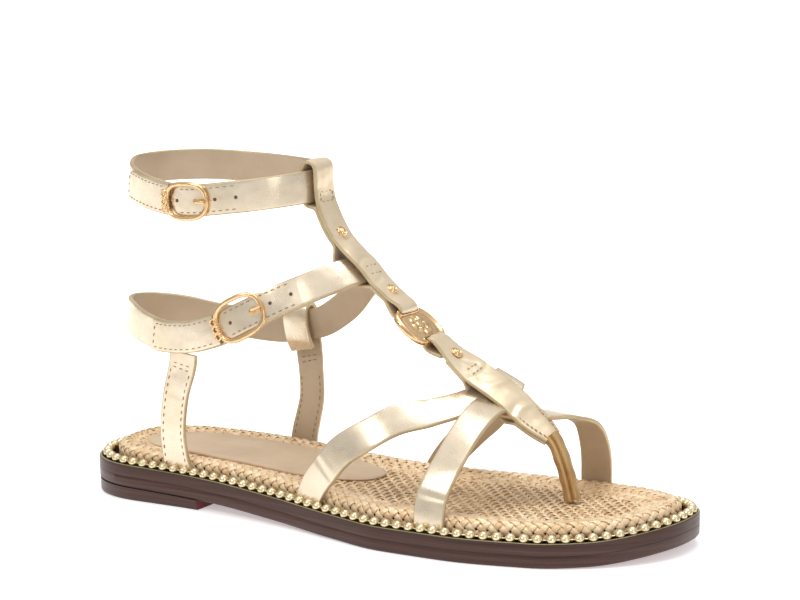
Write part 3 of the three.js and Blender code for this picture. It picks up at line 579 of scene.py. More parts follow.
class Nodes:
    """A material's node tree, built call by call."""

    def __init__(self, name: str) -> None:
        """Starts a material with a principled shader."""
        self.material = bpy.data.materials.new(name)
        self.material.use_nodes = True
        self.tree = self.material.node_tree
        self.shader = self.tree.nodes["Principled BSDF"]
        self.coord = self.tree.nodes.new("ShaderNodeTexCoord")

    def set(self, **values: float | tuple) -> None:
        """Sets plain values on the shader, underscores standing for spaces in a socket's name."""
        for key, value in values.items():
            self.shader.inputs[key.replace("_", " ")].default_value = value

    def link(self, source: bpy.types.NodeSocket, target: bpy.types.NodeSocket) -> None:
        """Joins two sockets."""
        self.tree.links.new(source, target)

    def mapped(self, scale: tuple[float, float, float], output: str = "Object",
               turn: tuple[float, float, float] = (0, 0, 0)) -> bpy.types.NodeSocket:
        """Scaled coordinates, for a pattern that is longer one way than another."""
        mapping = self.tree.nodes.new("ShaderNodeMapping")
        mapping.inputs["Scale"].default_value = scale
        mapping.inputs["Rotation"].default_value = turn
        self.link(self.coord.outputs[output], mapping.inputs["Vector"])
        return mapping.outputs["Vector"]

    def noise(self, vector: bpy.types.NodeSocket, scale: float, detail: float = 3,
              rough: float = 0.5) -> bpy.types.NodeSocket:
        """Cloudy pattern from 0 to 1."""
        node = self.tree.nodes.new("ShaderNodeTexNoise")
        node.inputs["Scale"].default_value = scale
        node.inputs["Detail"].default_value = detail
        node.inputs["Roughness"].default_value = rough
        self.link(vector, node.inputs["Vector"])
        return node.outputs["Fac"]

    def cells(self, vector: bpy.types.NodeSocket, scale: float) -> bpy.types.NodeSocket:
        """Pebbled pattern: distance from the middle of each cell."""
        node = self.tree.nodes.new("ShaderNodeTexVoronoi")
        node.inputs["Scale"].default_value = scale
        self.link(vector, node.inputs["Vector"])
        return node.outputs["Distance"]

    def ramp(self, value: bpy.types.NodeSocket, low: float, high: float, out_low: float = 0,
             out_high: float = 1) -> bpy.types.NodeSocket:
        """Stretches a value's range and clamps it."""
        node = self.tree.nodes.new("ShaderNodeMapRange")
        for key, number in zip(("From Min", "From Max", "To Min", "To Max"), (low, high, out_low, out_high)):
            node.inputs[key].default_value = number
        self.link(value, node.inputs["Value"])
        return node.outputs["Result"]

    def mix(self, share: bpy.types.NodeSocket, first: tuple | bpy.types.NodeSocket,
            second: tuple | bpy.types.NodeSocket) -> bpy.types.NodeSocket:
        """Mixes two colours."""
        node = self.tree.nodes.new("ShaderNodeMix")
        node.data_type = "RGBA"
        self.link(share, node.inputs[0])
        for socket, value in ((node.inputs[6], first), (node.inputs[7], second)):
            if isinstance(value, tuple):
                socket.default_value = value
            else:
                self.link(value, socket)
        return node.outputs[2]

    def bump(self, height: bpy.types.NodeSocket, strength: float, distance: float,
             under: bpy.types.NodeSocket | None = None) -> bpy.types.NodeSocket:
        """Raises the surface by a pattern, distance in millimetres."""
        node = self.tree.nodes.new("ShaderNodeBump")
        node.inputs["Strength"].default_value = strength
        node.inputs["Distance"].default_value = distance * MM
        self.link(height, node.inputs["Height"])
        if under is not None:
            self.link(under, node.inputs["Normal"])
        return node.outputs["Normal"]

    def attribute(self, name: str) -> bpy.types.NodeSocket:
        """A named value carried by the mesh."""
        node = self.tree.nodes.new("ShaderNodeAttribute")
        node.attribute_name = name
        return node.outputs["Fac"]

    def finish(self, color: bpy.types.NodeSocket | None = None, rough: bpy.types.NodeSocket | None = None,
               normal: bpy.types.NodeSocket | None = None) -> bpy.types.Material:
        """Joins the patterns to the shader and returns the material."""
        for socket, name in ((color, "Base Color"), (rough, "Roughness"), (normal, "Normal")):
            if socket is not None:
                self.link(socket, self.shader.inputs[name])
        return self.material


@dataclass(frozen=True)
class FoilLeather:
    """Leather under a metallic foil: a mirror with a fine grain and cloudy rubbed spots."""

    name: str
    light: tuple[float, float, float]
    dark: tuple[float, float, float]
    metallic: float = 0.8
    rough: float = 0.26
    grain: float = 0.06
    crinkle: float = 0.0

    def make(self) -> bpy.types.Material:
        """Builds the material."""
        n = Nodes(self.name)
        place = n.mapped((1, 1, 1))
        cloud = n.noise(place, 55, 4, 0.6)
        color = n.mix(n.ramp(cloud, 0.35, 0.7), linear(*self.light), linear(*self.dark))
        rough = n.ramp(n.noise(place, 140, 3), 0.3, 0.75, self.rough - 0.05, self.rough + 0.09)
        normal = n.bump(n.noise(place, 1500, 3, 0.6), self.grain, 0.12)
        if self.crinkle:
            folds = n.noise(n.mapped((1, 1, 1), turn=(0.4, 0.7, 0.2)), 300, 4, 0.55)
            normal = n.bump(folds, self.crinkle, 0.8, normal)
        n.set(Metallic=self.metallic, Specular_IOR_Level=0.6)
        return n.finish(color, rough, normal)


@dataclass(frozen=True)
class PlainLeather:
    """Smooth leather without foil, as on linings, the heel pad and folded edges."""

    name: str
    light: tuple[float, float, float]
    dark: tuple[float, float, float]
    rough: float = 0.55
    grain: float = 0.12
    metallic: float = 0.0

    def make(self) -> bpy.types.Material:
        """Builds the material."""
        n = Nodes(self.name)
        place = n.mapped((1, 1, 1))
        color = n.mix(n.ramp(n.noise(place, 45, 5, 0.6), 0.3, 0.72), linear(*self.light), linear(*self.dark))
        rough = n.ramp(n.noise(place, 200, 2), 0.3, 0.7, self.rough - 0.05, self.rough + 0.1)
        normal = n.bump(n.cells(place, 1100), self.grain, 0.1)
        normal = n.bump(n.noise(place, 260, 3), self.grain, 0.25, normal)
        n.set(Metallic=self.metallic)
        return n.finish(color, rough, normal)


@dataclass(frozen=True)
class StackedEdge:
    """Burnished stacked leather: thin streaks that run round the sole, darker in bands."""

    name: str
    light: tuple[float, float, float]
    dark: tuple[float, float, float]
    rough: float = 0.34

    def make(self) -> bpy.types.Material:
        """Builds the material."""
        n = Nodes(self.name)
        layers = n.noise(n.mapped((9, 9, 900)), 1, 4, 0.65)
        fibre = n.noise(n.mapped((60, 60, 3200)), 1, 3, 0.6)
        base = n.mix(n.ramp(layers, 0.34, 0.68), linear(*self.dark), linear(*self.light))
        shade = tuple(0.62 * c for c in self.dark)
        color = n.mix(n.ramp(fibre, 0.56, 0.78, 0, 0.55), base, linear(*shade))
        rough = n.ramp(fibre, 0.3, 0.8, self.rough - 0.06, self.rough + 0.16)
        normal = n.bump(fibre, 0.18, 0.12)
        normal = n.bump(layers, 0.12, 0.3, normal)
        n.set(Specular_IOR_Level=0.3, Coat_Weight=0.05, Coat_Roughness=0.3)
        return n.finish(color, rough, normal)


@dataclass(frozen=True)
class Raffia:
    """Woven raffia with a metallic sheen: long fibres, each strand a little different."""

    name: str
    light: tuple[float, float, float]
    middle: tuple[float, float, float]
    dark: tuple[float, float, float]
    metallic: float = 0.35

    def make(self) -> bpy.types.Material:
        """Builds the material."""
        n = Nodes(self.name)
        place = n.mapped((1, 1, 1))
        cloud = n.noise(place, 210, 4, 0.65)
        tone = n.attribute("tone")
        color = n.mix(n.ramp(tone, 0.1, 0.9), linear(*self.middle), linear(*self.light))
        color = n.mix(n.ramp(cloud, 0.5, 0.8, 0, 0.75), color, linear(*self.dark))
        fibre = n.noise(n.mapped((1, 1, 1)), 2600, 2, 0.7)
        rough = n.ramp(cloud, 0.3, 0.7, 0.34, 0.55)
        normal = n.bump(fibre, 0.25, 0.12)
        n.set(Metallic=self.metallic, Specular_IOR_Level=0.55)
        return n.finish(color, rough, normal)


@dataclass(frozen=True)
class PlatedMetal:
    """Polished plating with faint marks of wear."""

    name: str
    color: tuple[float, float, float]
    rough: float = 0.14
    metallic: float = 1.0

    def make(self) -> bpy.types.Material:
        """Builds the material."""
        n = Nodes(self.name)
        place = n.mapped((1, 1, 1))
        wear = n.noise(place, 420, 3, 0.6)
        warm = tuple(0.88 * c for c in self.color)
        color = n.mix(n.ramp(wear, 0.35, 0.75), linear(*self.color), linear(*warm))
        rough = n.ramp(wear, 0.3, 0.7, self.rough - 0.04, self.rough + 0.08)
        n.set(Metallic=self.metallic)
        return n.finish(color, rough, n.bump(wear, 0.05, 0.1))


class Palette:
    """Every finish of the sandal, made once."""

    def __init__(self) -> None:
        """Builds the materials."""
        self.foil = FoilLeather("champagne_foil", (234, 219, 196), (220, 203, 175), 0.8, 0.27).make()
        self.soft_foil = FoilLeather("crumpled_foil", (230, 212, 182), (216, 196, 162),
                                     0.5, 0.34, 0.1, 0.12).make()
        self.post_foil = FoilLeather("post_foil", (208, 176, 124), (178, 140, 90),
                                     0.6, 0.4, 0.14, 0.2).make()
        # folded edge: a darker, less metallic copy of the foil, painted shade on the straps' rounded edges
        self.edge = FoilLeather("folded_edge_painted_shade", (204, 184, 148), (180, 158, 122), 0.5, 0.42).make()
        self.lining = PlainLeather("taupe_lining", (196, 176, 150), (178, 156, 130)).make()
        self.pad = PlainLeather("heel_pad_leather", (214, 190, 160), (196, 170, 140), 0.6, 0.16).make()
        self.brown = StackedEdge("brown_stack", (84, 56, 47), (56, 34, 30)).make()
        # groove material: darker brown for the bevels where the sole layers meet and for the heel's bottom
        # chamfer, painted shade in those grooves
        self.groove = PlainLeather("groove_painted_shade", (58, 40, 37), (46, 32, 30), 0.6).make()
        self.under = PlainLeather("oxblood_sole", (116, 40, 40), (92, 30, 30), 0.5).make()
        self.lip = FoilLeather("welt_lip", (150, 146, 104), (116, 112, 74), 0.4, 0.4).make()
        self.raffia = Raffia("gold_raffia", (246, 222, 184), (230, 197, 153), (184, 136, 92), 0.25).make()
        # board: the footbed board's brown, darkened to near black as painted shade in the gaps between raffia
        # strands and in the seat by the lip
        self.board = PlainLeather("woven_ground_painted_shade", (58, 30, 16), (42, 22, 12), 0.9).make()
        self.bead = PlatedMetal("bead_plate", (245, 226, 186), 0.27).make()
        self.rose = PlatedMetal("rose_plate", (240, 202, 152), 0.17).make()
        self.thread = PlainLeather("beige_thread", (168, 140, 104), (146, 118, 84), 0.7).make()
        self.gold_thread = PlainLeather("gold_thread", (176, 142, 98), (150, 118, 78), 0.6, 0.1, 0.2).make()
        # hole material: dark brown for punched holes and medallion slots, painted shade standing in for those
        # openings
        self.dark = PlainLeather("hole_painted_shade", (104, 82, 60), (84, 64, 46), 0.8).make()


# ------------------------------------------------------------------ geometry nodes
class Tree:
    """A Geometry Nodes tree with named inputs."""

    def __init__(self, name: str) -> None:
        """Starts a tree with a geometry input and output."""
        self.group = bpy.data.node_groups.new(name, "GeometryNodeTree")
        self.group.interface.new_socket("Geometry", in_out="OUTPUT", socket_type="NodeSocketGeometry")
        self.group.interface.new_socket("Geometry", in_out="INPUT", socket_type="NodeSocketGeometry")
        self.start = self.group.nodes.new("NodeGroupInput")
        self.end = self.group.nodes.new("NodeGroupOutput")
        self.sockets: dict[str, str] = {}

    def input(self, name: str, kind: str) -> None:
        """Adds a named input."""
        socket = self.group.interface.new_socket(name, in_out="INPUT", socket_type=f"NodeSocket{kind}")
        self.sockets[name] = socket.identifier

    def node(self, kind: str, **links: object) -> bpy.types.Node:
        """Adds a node and fills its inputs with sockets or plain values."""
        made = self.group.nodes.new(kind)
        for key, value in links.items():
            socket = made.inputs[key.replace("_", " ")]
            if isinstance(value, bpy.types.NodeSocket):
                self.group.links.new(value, socket)
            else:
                socket.default_value = value
        return made

    def named(self, name: str, kind: str = "FLOAT_VECTOR") -> bpy.types.NodeSocket:
        """Reads a named attribute."""
        node = self.group.nodes.new("GeometryNodeInputNamedAttribute")
        node.data_type = kind
        node.inputs["Name"].default_value = name
        return node.outputs["Attribute"]

    def close(self, geometry: bpy.types.NodeSocket) -> None:
        """Realizes instances, sets the material and ends the tree."""
        real = self.node("GeometryNodeRealizeInstances", Geometry=geometry)
        smooth = self.node("GeometryNodeSetShadeSmooth", Geometry=real.outputs[0])
        dressed = self.node("GeometryNodeSetMaterial", Geometry=smooth.outputs[0],
                            Material=self.start.outputs["Material"])
        self.group.links.new(dressed.outputs[0], self.end.inputs[0])

    def apply(self, piece: bpy.types.Object, **values: object) -> bpy.types.Object:
        """Runs the tree on a piece and keeps the result as its plain mesh.

        Args:
            piece: Object whose mesh feeds the tree.
            values: Inputs by name, underscores standing for spaces.

        Returns:
            The same object with its new mesh.
        """
        modifier = piece.modifiers.new(self.group.name, "NODES")
        modifier.node_group = self.group
        for key, value in values.items():
            modifier[self.sockets[key.replace("_", " ")]] = value
        graph = bpy.context.evaluated_depsgraph_get()
        mesh = bpy.data.meshes.new_from_object(piece.evaluated_get(graph))
        piece.modifiers.remove(modifier)
        piece.data = mesh
        return piece


def ribbon_tree() -> Tree:
    """Tree that sweeps a flattened round strand along each line of a mesh.

    The lines carry face, the direction out of the surface that they lie on, and size, which scales
    the strand.
    """
    tree = Tree("ribbons")
    tree.input("Width", "Float")
    tree.input("Thickness", "Float")
    tree.input("Sides", "Int")
    tree.input("Material", "Material")
    start = tree.start.outputs
    curve = tree.node("GeometryNodeMeshToCurve", Mesh=start["Geometry"])
    turned = tree.node("GeometryNodeSetCurveNormal", Curve=curve.outputs[0])
    turned.mode = "FREE"
    tree.group.links.new(tree.named("face"), turned.inputs["Normal"])
    circle = tree.node("GeometryNodeCurvePrimitiveCircle", Resolution=start["Sides"], Radius=0.5)
    size = tree.node("ShaderNodeCombineXYZ", X=start["Thickness"], Y=start["Width"], Z=1.0)
    profile = tree.node("GeometryNodeTransform", Geometry=circle.outputs[0], Scale=size.outputs[0])
    swept = tree.node("GeometryNodeCurveToMesh", Curve=turned.outputs[0], Fill_Caps=True)
    tree.group.links.new(profile.outputs[0], swept.inputs["Profile Curve"])
    tree.group.links.new(tree.named("size", "FLOAT"), swept.inputs["Scale"])
    tree.close(swept.outputs[0])
    return tree


def scatter_tree() -> Tree:
    """Tree that puts a rounded item on each point of a mesh.

    The points carry face and along, two directions. The item is a sphere pulled to a length, width
    and height.
    """
    tree = Tree("scatter")
    for name in ("Length", "Width", "Height", "Jitter"):
        tree.input(name, "Float")
    tree.input("Segments", "Int")
    tree.input("Seed", "Int")
    tree.input("Material", "Material")
    start = tree.start.outputs
    ball = tree.node("GeometryNodeMeshUVSphere", Segments=start["Segments"], Radius=0.5)
    rings = tree.node("ShaderNodeMath")
    rings.operation = "MULTIPLY"
    tree.group.links.new(start["Segments"], rings.inputs[0])
    rings.inputs[1].default_value = 0.55
    tree.group.links.new(rings.outputs[0], ball.inputs["Rings"])
    size = tree.node("ShaderNodeCombineXYZ", X=start["Length"], Y=start["Width"], Z=start["Height"])
    item = tree.node("GeometryNodeTransform", Geometry=ball.outputs[0], Scale=size.outputs[0])
    turn = tree.node("FunctionNodeAxesToRotation", Primary_Axis=tree.named("face"),
                     Secondary_Axis=tree.named("along"))
    turn.primary_axis = "Z"
    turn.secondary_axis = "X"
    low = tree.node("ShaderNodeMath")
    low.operation = "SUBTRACT"
    low.inputs[0].default_value = 1.0
    tree.group.links.new(start["Jitter"], low.inputs[1])
    vary = tree.node("FunctionNodeRandomValue")
    vary.data_type = "FLOAT"
    tree.group.links.new(low.outputs[0], vary.inputs[2])
    vary.inputs[3].default_value = 1.0
    tree.group.links.new(start["Seed"], vary.inputs["Seed"])
    placed = tree.node("GeometryNodeInstanceOnPoints", Points=start["Geometry"], Instance=item.outputs[0],
                       Rotation=turn.outputs[0], Scale=vary.outputs[1])
    tree.close(placed.outputs[0])
    return tree


RIBBONS = ribbon_tree()
SCATTER = scatter_tree()


def carrier(name: str, points: Array, edges: Sequence[tuple[int, int]] = (),
            **values: Array) -> bpy.types.Object:
    """A mesh of bare points and lines that feeds a tree.

    Args:
        name: Name of the piece to be.
        points: Places in millimetres.
        edges: Lines between points.
        values: Attributes of the points, vectors or numbers.

    Returns:
        The object.
    """
    mesh = bpy.data.meshes.new(name)
    mesh.from_pydata(to_row(points).tolist(), list(edges), [])
    for key, data in values.items():
        data = np.asarray(data, float)
        vector = data.ndim == 2
        attribute = mesh.attributes.new(key, "FLOAT_VECTOR" if vector else "FLOAT", "POINT")
        attribute.data.foreach_set("vector" if vector else "value", data.ravel())
    piece = bpy.data.objects.new(name, mesh)
    bpy.context.scene.collection.objects.link(piece)
    return piece


def ribbons(name: str, lines: Sequence[tuple[Array, Array, Array]], width: float, thick: float,
            material: bpy.types.Material, sides: int = 6, closed: bool = False) -> bpy.types.Object:
    """Strands along lines of (points, face directions, sizes), each with a tone of its own."""
    rng = np.random.default_rng(SEED + len(lines))
    edges, start = [], 0
    for points, _, _ in lines:
        count = len(points)
        edges += [(start + i, start + i + 1) for i in range(count - 1)]
        edges += [(start + count - 1, start)] if closed else []
        start += count
    tone = np.concatenate([np.full(len(p), rng.random()) for p, _, _ in lines])
    piece = carrier(name, np.vstack([p for p, _, _ in lines]), edges,
                    face=np.vstack([f for _, f, _ in lines]),
                    size=np.concatenate([s for _, _, s in lines]), tone=tone)
    return RIBBONS.apply(piece, Width=width * MM, Thickness=thick * MM, Sides=sides, Material=material)


def scatter(name: str, points: Array, along: Array, face: Array, size: tuple[float, float, float],
            material: bpy.types.Material, segments: int = 8, jitter: float = 0.0) -> bpy.types.Object:
    """Rounded items of (length, width, height) on points."""
    piece = carrier(name, points, along=along, face=face)
    return SCATTER.apply(piece, Length=size[0] * MM, Width=size[1] * MM, Height=size[2] * MM,
                         Segments=segments, Jitter=jitter, Seed=SEED, Material=material)


def keep(piece: bpy.types.Object, slot: str, *nodes: str) -> bpy.types.Object:
    """Makes a piece ride on the shoe and stand for CAD nodes."""
    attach(piece, "root")
    if nodes:
        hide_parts(*nodes)
    LOG.info("%-24s %7d faces", piece.name, len(piece.data.polygons))
    return piece


# ------------------------------------------------------------------ sole unit
@dataclass
class SoleUnit:
    """Outsole, midsole with its seat and gold lip, and the low stacked heel."""

    palette: Palette
    welt_thick: float = 4.6
    outsole_thick: float = 4.3
    recess: float = 1.7
    lip: float = 0.9
    heel_length: float = 61.0
    bevel: float = 0.06
    stations: int = 130

    def layer(self, name: str, rings: Sequence[tuple[float, Callable[[Array], Array]]],
              slots: Sequence[int], materials: Sequence[bpy.types.Material],
              end: float = LENGTH) -> bpy.types.Object:
        """A closed layer of the sole.

        Args:
            name: Name of the piece.
            rings: Inset and height of each outline, from below upwards and then inwards.
            slots: Material of the underside, of each band between outlines and of the top.
            materials: The materials.
            end: Where along the sole the layer stops.

        Returns:
            The piece.
        """
        outlines = []
        for inset, height in rings:
            ring = LAST.ring(inset, self.stations, end)
            ring[:, 2] = height(ring[:, 0])
            outlines.append(ring)
        outlines = np.array(outlines)
        size = outlines.shape[1]
        faces = skin(outlines, caps=False)
        kinds = [slots[1 + r] for r in range(len(rings) - 1) for _ in range(size)]
        top = (len(rings) - 1) * size
        for i in range(self.stations):
            far = size - 1 - i
            faces.append([i, far, far - 1, i + 1])
            faces.append([top + i, top + i + 1, top + far - 1, top + far])
            kinds += [slots[0], slots[-1]]
        if end < LENGTH:
            for r in range(len(rings) - 1):
                kinds[r * size + self.stations] = slots[0]
        shape = Shape()
        shape.add(outlines.reshape(-1, 3), faces, kinds)
        return shape.build(name, materials, sharp=50)

    def below(self, drop: float) -> Callable[[Array], Array]:
        """Height at a distance under the welt's upper edge."""
        return lambda x: LAST.welt(x) - drop

    def bottom(self, rise: float) -> Callable[[Array], Array]:
        """Height above the outsole's underside, which is flat where it meets the floor."""
        depth = self.welt_thick + self.outsole_thick + 0.3
        return lambda x: np.maximum(LAST.welt(x) - depth, 0) + rise

    def build(self) -> None:
        """Makes the three layers."""
        p, b, w = self.palette, self.bevel, self.welt_thick
        midsole = self.layer(
            "midsole_edge",
            [(b * 1.6, self.below(w)), (0, self.below(w - b)), (0, self.below(0.45)),
             (0.12, self.below(0.12)), (0.35, self.below(0)),
             (self.lip, self.below(0)), (self.lip + 0.1, self.below(0.25)),
             (self.lip + 0.1, self.below(self.recess))],
            # slot 1 (groove material) is painted shade on the midsole's underside and lower bevel
            [1, 1, 0, 0, 2, 2, 2, 3, 3], [p.brown, p.groove, p.lip, p.board])
        # slot 3 (board material) on the seat wall and top is painted shade in the seat by the lip
        keep(midsole, "sole_brown", "midsole")
        top = self.below(w + 0.04)
        outsole = self.layer(
            "outsole_edge",
            [(1.6, self.bottom(0)), (0.7, self.bottom(0.1)), (0.1, self.bottom(0.8)),
             (0, lambda x: top(x) - b), (b, top)],
            # slot 2 (groove material) is painted shade on the outsole's top bevel where it meets the midsole
            [1, 1, 0, 0, 2, 2], [p.brown, p.under, p.groove])
        keep(outsole, "sole_brown", "outsole")
        heel_top = self.bottom(-0.03)
        heel = self.layer(
            "heel_block",
            [(1.2, lambda x: 0 * x), (0.6, lambda x: 0 * x + 0.35), (0.3, lambda x: 0 * x + 0.9),
             (0.2, lambda x: heel_top(x) - 0.06), (0.3, heel_top)],
            # slot 2 (groove material) is painted shade on the heel's bottom chamfer and top bevel
            [1, 2, 0, 0, 2, 2], [p.brown, p.under, p.groove], end=self.heel_length)
        keep(heel, "sole_brown", "heel")


# ------------------------------------------------------------------ footbed
@dataclass
class Footbed:
    """Padded board rolled up at its rim and wrapped in woven raffia, with a leather heel pad."""

    palette: Palette
    inset: float = 6.9
    rim_pitch: float = 4.2
    rim_slope: float = 0.85
    rim_width: float = 2.45
    weave_x: float = 2.7
    weave_y: float = 3.1
    strand: float = 0.62
    wave: float = 0.3
    sunk: float = 0.62
    field_inset: float = 14.2
    pad_middle: tuple[float, float] = (71.5, 1.4)
    pad_half: tuple[float, float] = (54.5, 18.4)
    pad_power: float = 2.5
    PROFILE = ((0.3, -1.4), (0, 0.6), (0, 3.1), (1, 4.8), (3.4, 5.7), (8.5, 4.6), (15, 3.8))

    def __post_init__(self) -> None:
        """Measures the rim: its length round the footbed and its width over the roll."""
        self.turn = np.linspace(0, 2, 4001)
        line = self.rim(self.turn, np.full(4001, 0.62))
        self.round = np.concatenate([[0], np.cumsum(np.linalg.norm(np.diff(line, axis=0), axis=1))])
        self.cross = np.linspace(0, 1, 201)
        section = catmull(np.array(self.PROFILE), self.cross)
        self.over = np.concatenate([[0], np.cumsum(np.linalg.norm(np.diff(section, axis=0), axis=1))])

    def rim(self, turn: Array, cross: Array) -> Array:
        """Points of the rim.

        Args:
            turn: Place round the footbed, 0 to 1 down the lateral side and 1 to 2 back.
            cross: Place over the roll, 0 at the foot of its wall and 1 at its inner edge.
        """
        turn = np.mod(turn, 2)
        section = catmull(np.array(self.PROFILE), cross)
        inset = self.inset + section[:, 0]
        lateral = turn < 1
        share = (1 - np.cos(math.pi * np.where(lateral, turn, 2 - turn))) / 2
        x = inset + (LENGTH - 2 * inset) * share
        y = np.where(lateral, LAST.edge(Side.LATERAL, x, inset), LAST.edge(Side.MEDIAL, x, inset))
        return np.stack([x, y, LAST.welt(x) + section[:, 1]], -1)

    def rim_normal(self, turn: Array, cross: Array) -> Array:
        """Directions out of the rim."""
        dt, dc = 0.002, 0.01
        along = self.rim(turn + dt, cross) - self.rim(turn - dt, cross)
        up = self.rim(turn, np.minimum(cross + dc, 1)) - self.rim(turn, np.maximum(cross - dc, 0))
        return unit(np.cross(along, up))

    def height(self, x: Array, y: Array) -> Array:
        """Height of the field inside the rim."""
        room = np.minimum(y - LAST.edge(Side.LATERAL, x, 0), LAST.edge(Side.MEDIAL, x, 0) - y)
        room = np.minimum(room, np.minimum(x, LENGTH - x)) - self.inset
        return LAST.welt(x) + 3.8 + 0.8 * (1 - smoothstep(8.5, 15, room))

    def build_board(self) -> None:
        """The padded board itself, which shows as the dark ground between the strands; its near-black brown
        is painted shade in those gaps.
        """
        cross = np.linspace(0, 1, 22)
        turn = np.linspace(0, 2, 361)[:-1]
        rings = []
        for share in cross:
            here = np.full(len(turn), share)
            rings.append(self.rim(turn, here) - self.rim_normal(turn, here) * (self.sunk + 0.35))
        inner, middle = rings[-1], np.array([LENGTH / 2, -1.0])
        for scale in (0.9, 0.75, 0.55, 0.3, 0.05):
            ring = inner.copy()
            ring[:, :2] = middle + (ring[:, :2] - middle) * scale
            ring[:, 2] = self.height(ring[:, 0], ring[:, 1]) - self.sunk - 0.35
            rings.append(ring)
        rings = np.array(rings)
        shape = Shape()
        shape.add(rings, skin(rings))
        keep(shape.build("footbed_board", [self.palette.board]), "woven_raffia", "footbed")

    def build_rim(self) -> None:
        """Braid over the rim: two families of strands that pass over and under each other."""
        count = int(round(self.round[-1] / self.rim_pitch))
        pitch = self.round[-1] / count
        reach = np.linspace(0.09, 0.99, 30)
        over = np.interp(reach, self.cross, self.over)
        over = over - over[0]
        phase = over * 2 * self.rim_slope / pitch
        rng = np.random.default_rng(SEED)
        for name, way in (("rim_braid_right", 1), ("rim_braid_left", -1)):
            lines = []
            for k in range(count):
                place = np.mod(k * pitch + way * self.rim_slope * over, self.round[-1])
                turn = np.interp(place, self.round, self.turn)
                face = self.rim_normal(turn, reach)
                rise = way * self.wave * 1.1 * np.cos(math.pi * phase) - self.sunk
                points = self.rim(turn, reach) + face * (rise + rng.uniform(-0.08, 0.08))[:, None]
                size = 1 + 0.06 * np.sin(reach * 23 + k * 2.4) + rng.uniform(-0.05, 0.05)
                lines.append((points, face, size))
            keep(ribbons(name, lines, self.rim_width, self.strand, self.palette.raffia, 8), "woven_raffia")

    def pad_share(self, x: Array, y: Array) -> Array:
        """How far out a place is on the heel pad, 1 at its outline."""
        u = np.abs((x - self.pad_middle[0]) / self.pad_half[0])
        v = np.abs((y - self.pad_middle[1]) / self.pad_half[1])
        return (u**self.pad_power + v**self.pad_power) ** (1 / self.pad_power)

    def pieces_of(self, points: Array, inside: Array, rise: Array, rng: np.random.Generator,
                  lines: list[tuple[Array, Array, Array]]) -> None:
        """Cuts one strand into the stretches that show and adds them to lines."""
        start = 0
        while start < len(points):
            if not inside[start]:
                start += 1
                continue
            stop = start
            while stop < len(points) and inside[stop]:
                stop += 1
            if stop - start > 4:
                part = points[start:stop].copy()
                part[:, 2] += rise[start:stop] - self.sunk
                face = np.tile([0.0, 0.0, 1.0], (len(part), 1))
                wave = 1 + 0.07 * np.sin(part[:, 0] * 0.9 + part[:, 1] * 1.3 + rng.uniform(0, 6))
                lines.append((part, face, wave * rng.uniform(0.93, 1.04)))
            start = stop

    def build_field(self) -> None:
        """Plain weave of the field: strands along the foot and strands across it."""
        rng = np.random.default_rng(SEED)
        fine = 4
        lengthwise, crosswise = [], []
        xs = np.arange(self.field_inset, LENGTH - self.field_inset, self.weave_x / fine)
        ys = np.arange(-46, 46, self.weave_y / fine)
        for i, y in enumerate(np.arange(-46, 46, self.weave_y)):
            line = np.full(len(xs), y) + 0.25 * np.sin(xs * 0.11 + i)
            low = LAST.edge(Side.LATERAL, xs, self.field_inset)
            high = LAST.edge(Side.MEDIAL, xs, self.field_inset)
            inside = (line > low) & (line < high) & (self.pad_share(xs, line) > 0.93)
            rise = self.wave * np.cos(math.pi * (xs - self.field_inset) / self.weave_x + math.pi * i)
            points = np.stack([xs, line, self.height(xs, line)], -1)
            self.pieces_of(points, inside, rise, rng, lengthwise)
        for j, x in enumerate(np.arange(self.field_inset, LENGTH - self.field_inset, self.weave_x)):
            line = np.full(len(ys), x) + 0.3 * np.sin(ys * 0.13 + j * 0.7)
            low = LAST.edge(Side.LATERAL, line, self.field_inset)
            high = LAST.edge(Side.MEDIAL, line, self.field_inset)
            inside = (ys > low) & (ys < high) & (self.pad_share(line, ys) > 0.93)
            rise = -self.wave * np.cos(math.pi * (ys + 46) / self.weave_y + math.pi * j)
            points = np.stack([line, ys, self.height(line, ys)], -1)
            self.pieces_of(points, inside, rise, rng, crosswise)
        raffia = self.palette.raffia
        along = ribbons("weave_lengthwise", lengthwise, self.weave_y * 0.62, self.strand * 0.9, raffia, 6)
        keep(along, "woven_raffia")
        across = ribbons("weave_crosswise", crosswise, self.weave_x * 0.58, self.strand * 0.9, raffia, 6)
        keep(across, "woven_raffia")

    def build_pad(self) -> None:
        """Oblong heel pad with a turned edge and soft creases across it."""
        turn = np.linspace(0, 2 * math.pi, 145)[:-1]
        c, s = np.cos(turn), np.sin(turn)
        power = 2 / self.pad_power
        flat = np.stack([np.sign(c) * np.abs(c) ** power * self.pad_half[0],
                         np.sign(s) * np.abs(s) ** power * self.pad_half[1]], -1)
        middle = np.array(self.pad_middle)
        rows = [(0.97, -0.6), (0.995, 0.0), (1.0, 0.35), (0.995, 0.62), (0.98, 0.82), (0.955, 0.9)]
        rows += [(share, 0.92 - 0.12 * (1 - share)) for share in np.linspace(0.92, 0.02, 26)]
        rings = []
        for scale, lift in rows:
            ring = np.zeros((len(turn), 3))
            ring[:, :2] = middle + flat * scale
            x, y = ring[:, 0], ring[:, 1]
            ring[:, 2] = self.height(x, y) + lift
            if scale < 0.97:
                soft = smoothstep(0.97, 0.8, np.full(len(turn), scale))
                folds = np.array([noise.noise(Vector((px / 26, py / 7, 3.0))) for px, py in ring[:, :2]])
                fine = np.array([noise.noise(Vector((px / 11, py / 3.4, 9.0))) for px, py in ring[:, :2]])
                ring[:, 2] += soft * (0.34 * folds + 0.16 * fine)
            rings.append(ring)
        rings = np.array(rings)
        shape = Shape()
        shape.add(rings, skin(rings))
        pad = keep(shape.build("heel_pad", [self.palette.pad]), "heel_pad")

    def build(self) -> None:
        """Makes the board, its weave and the pad."""
        self.build_board()
        self.build_rim()
        self.build_field()
        self.build_pad()


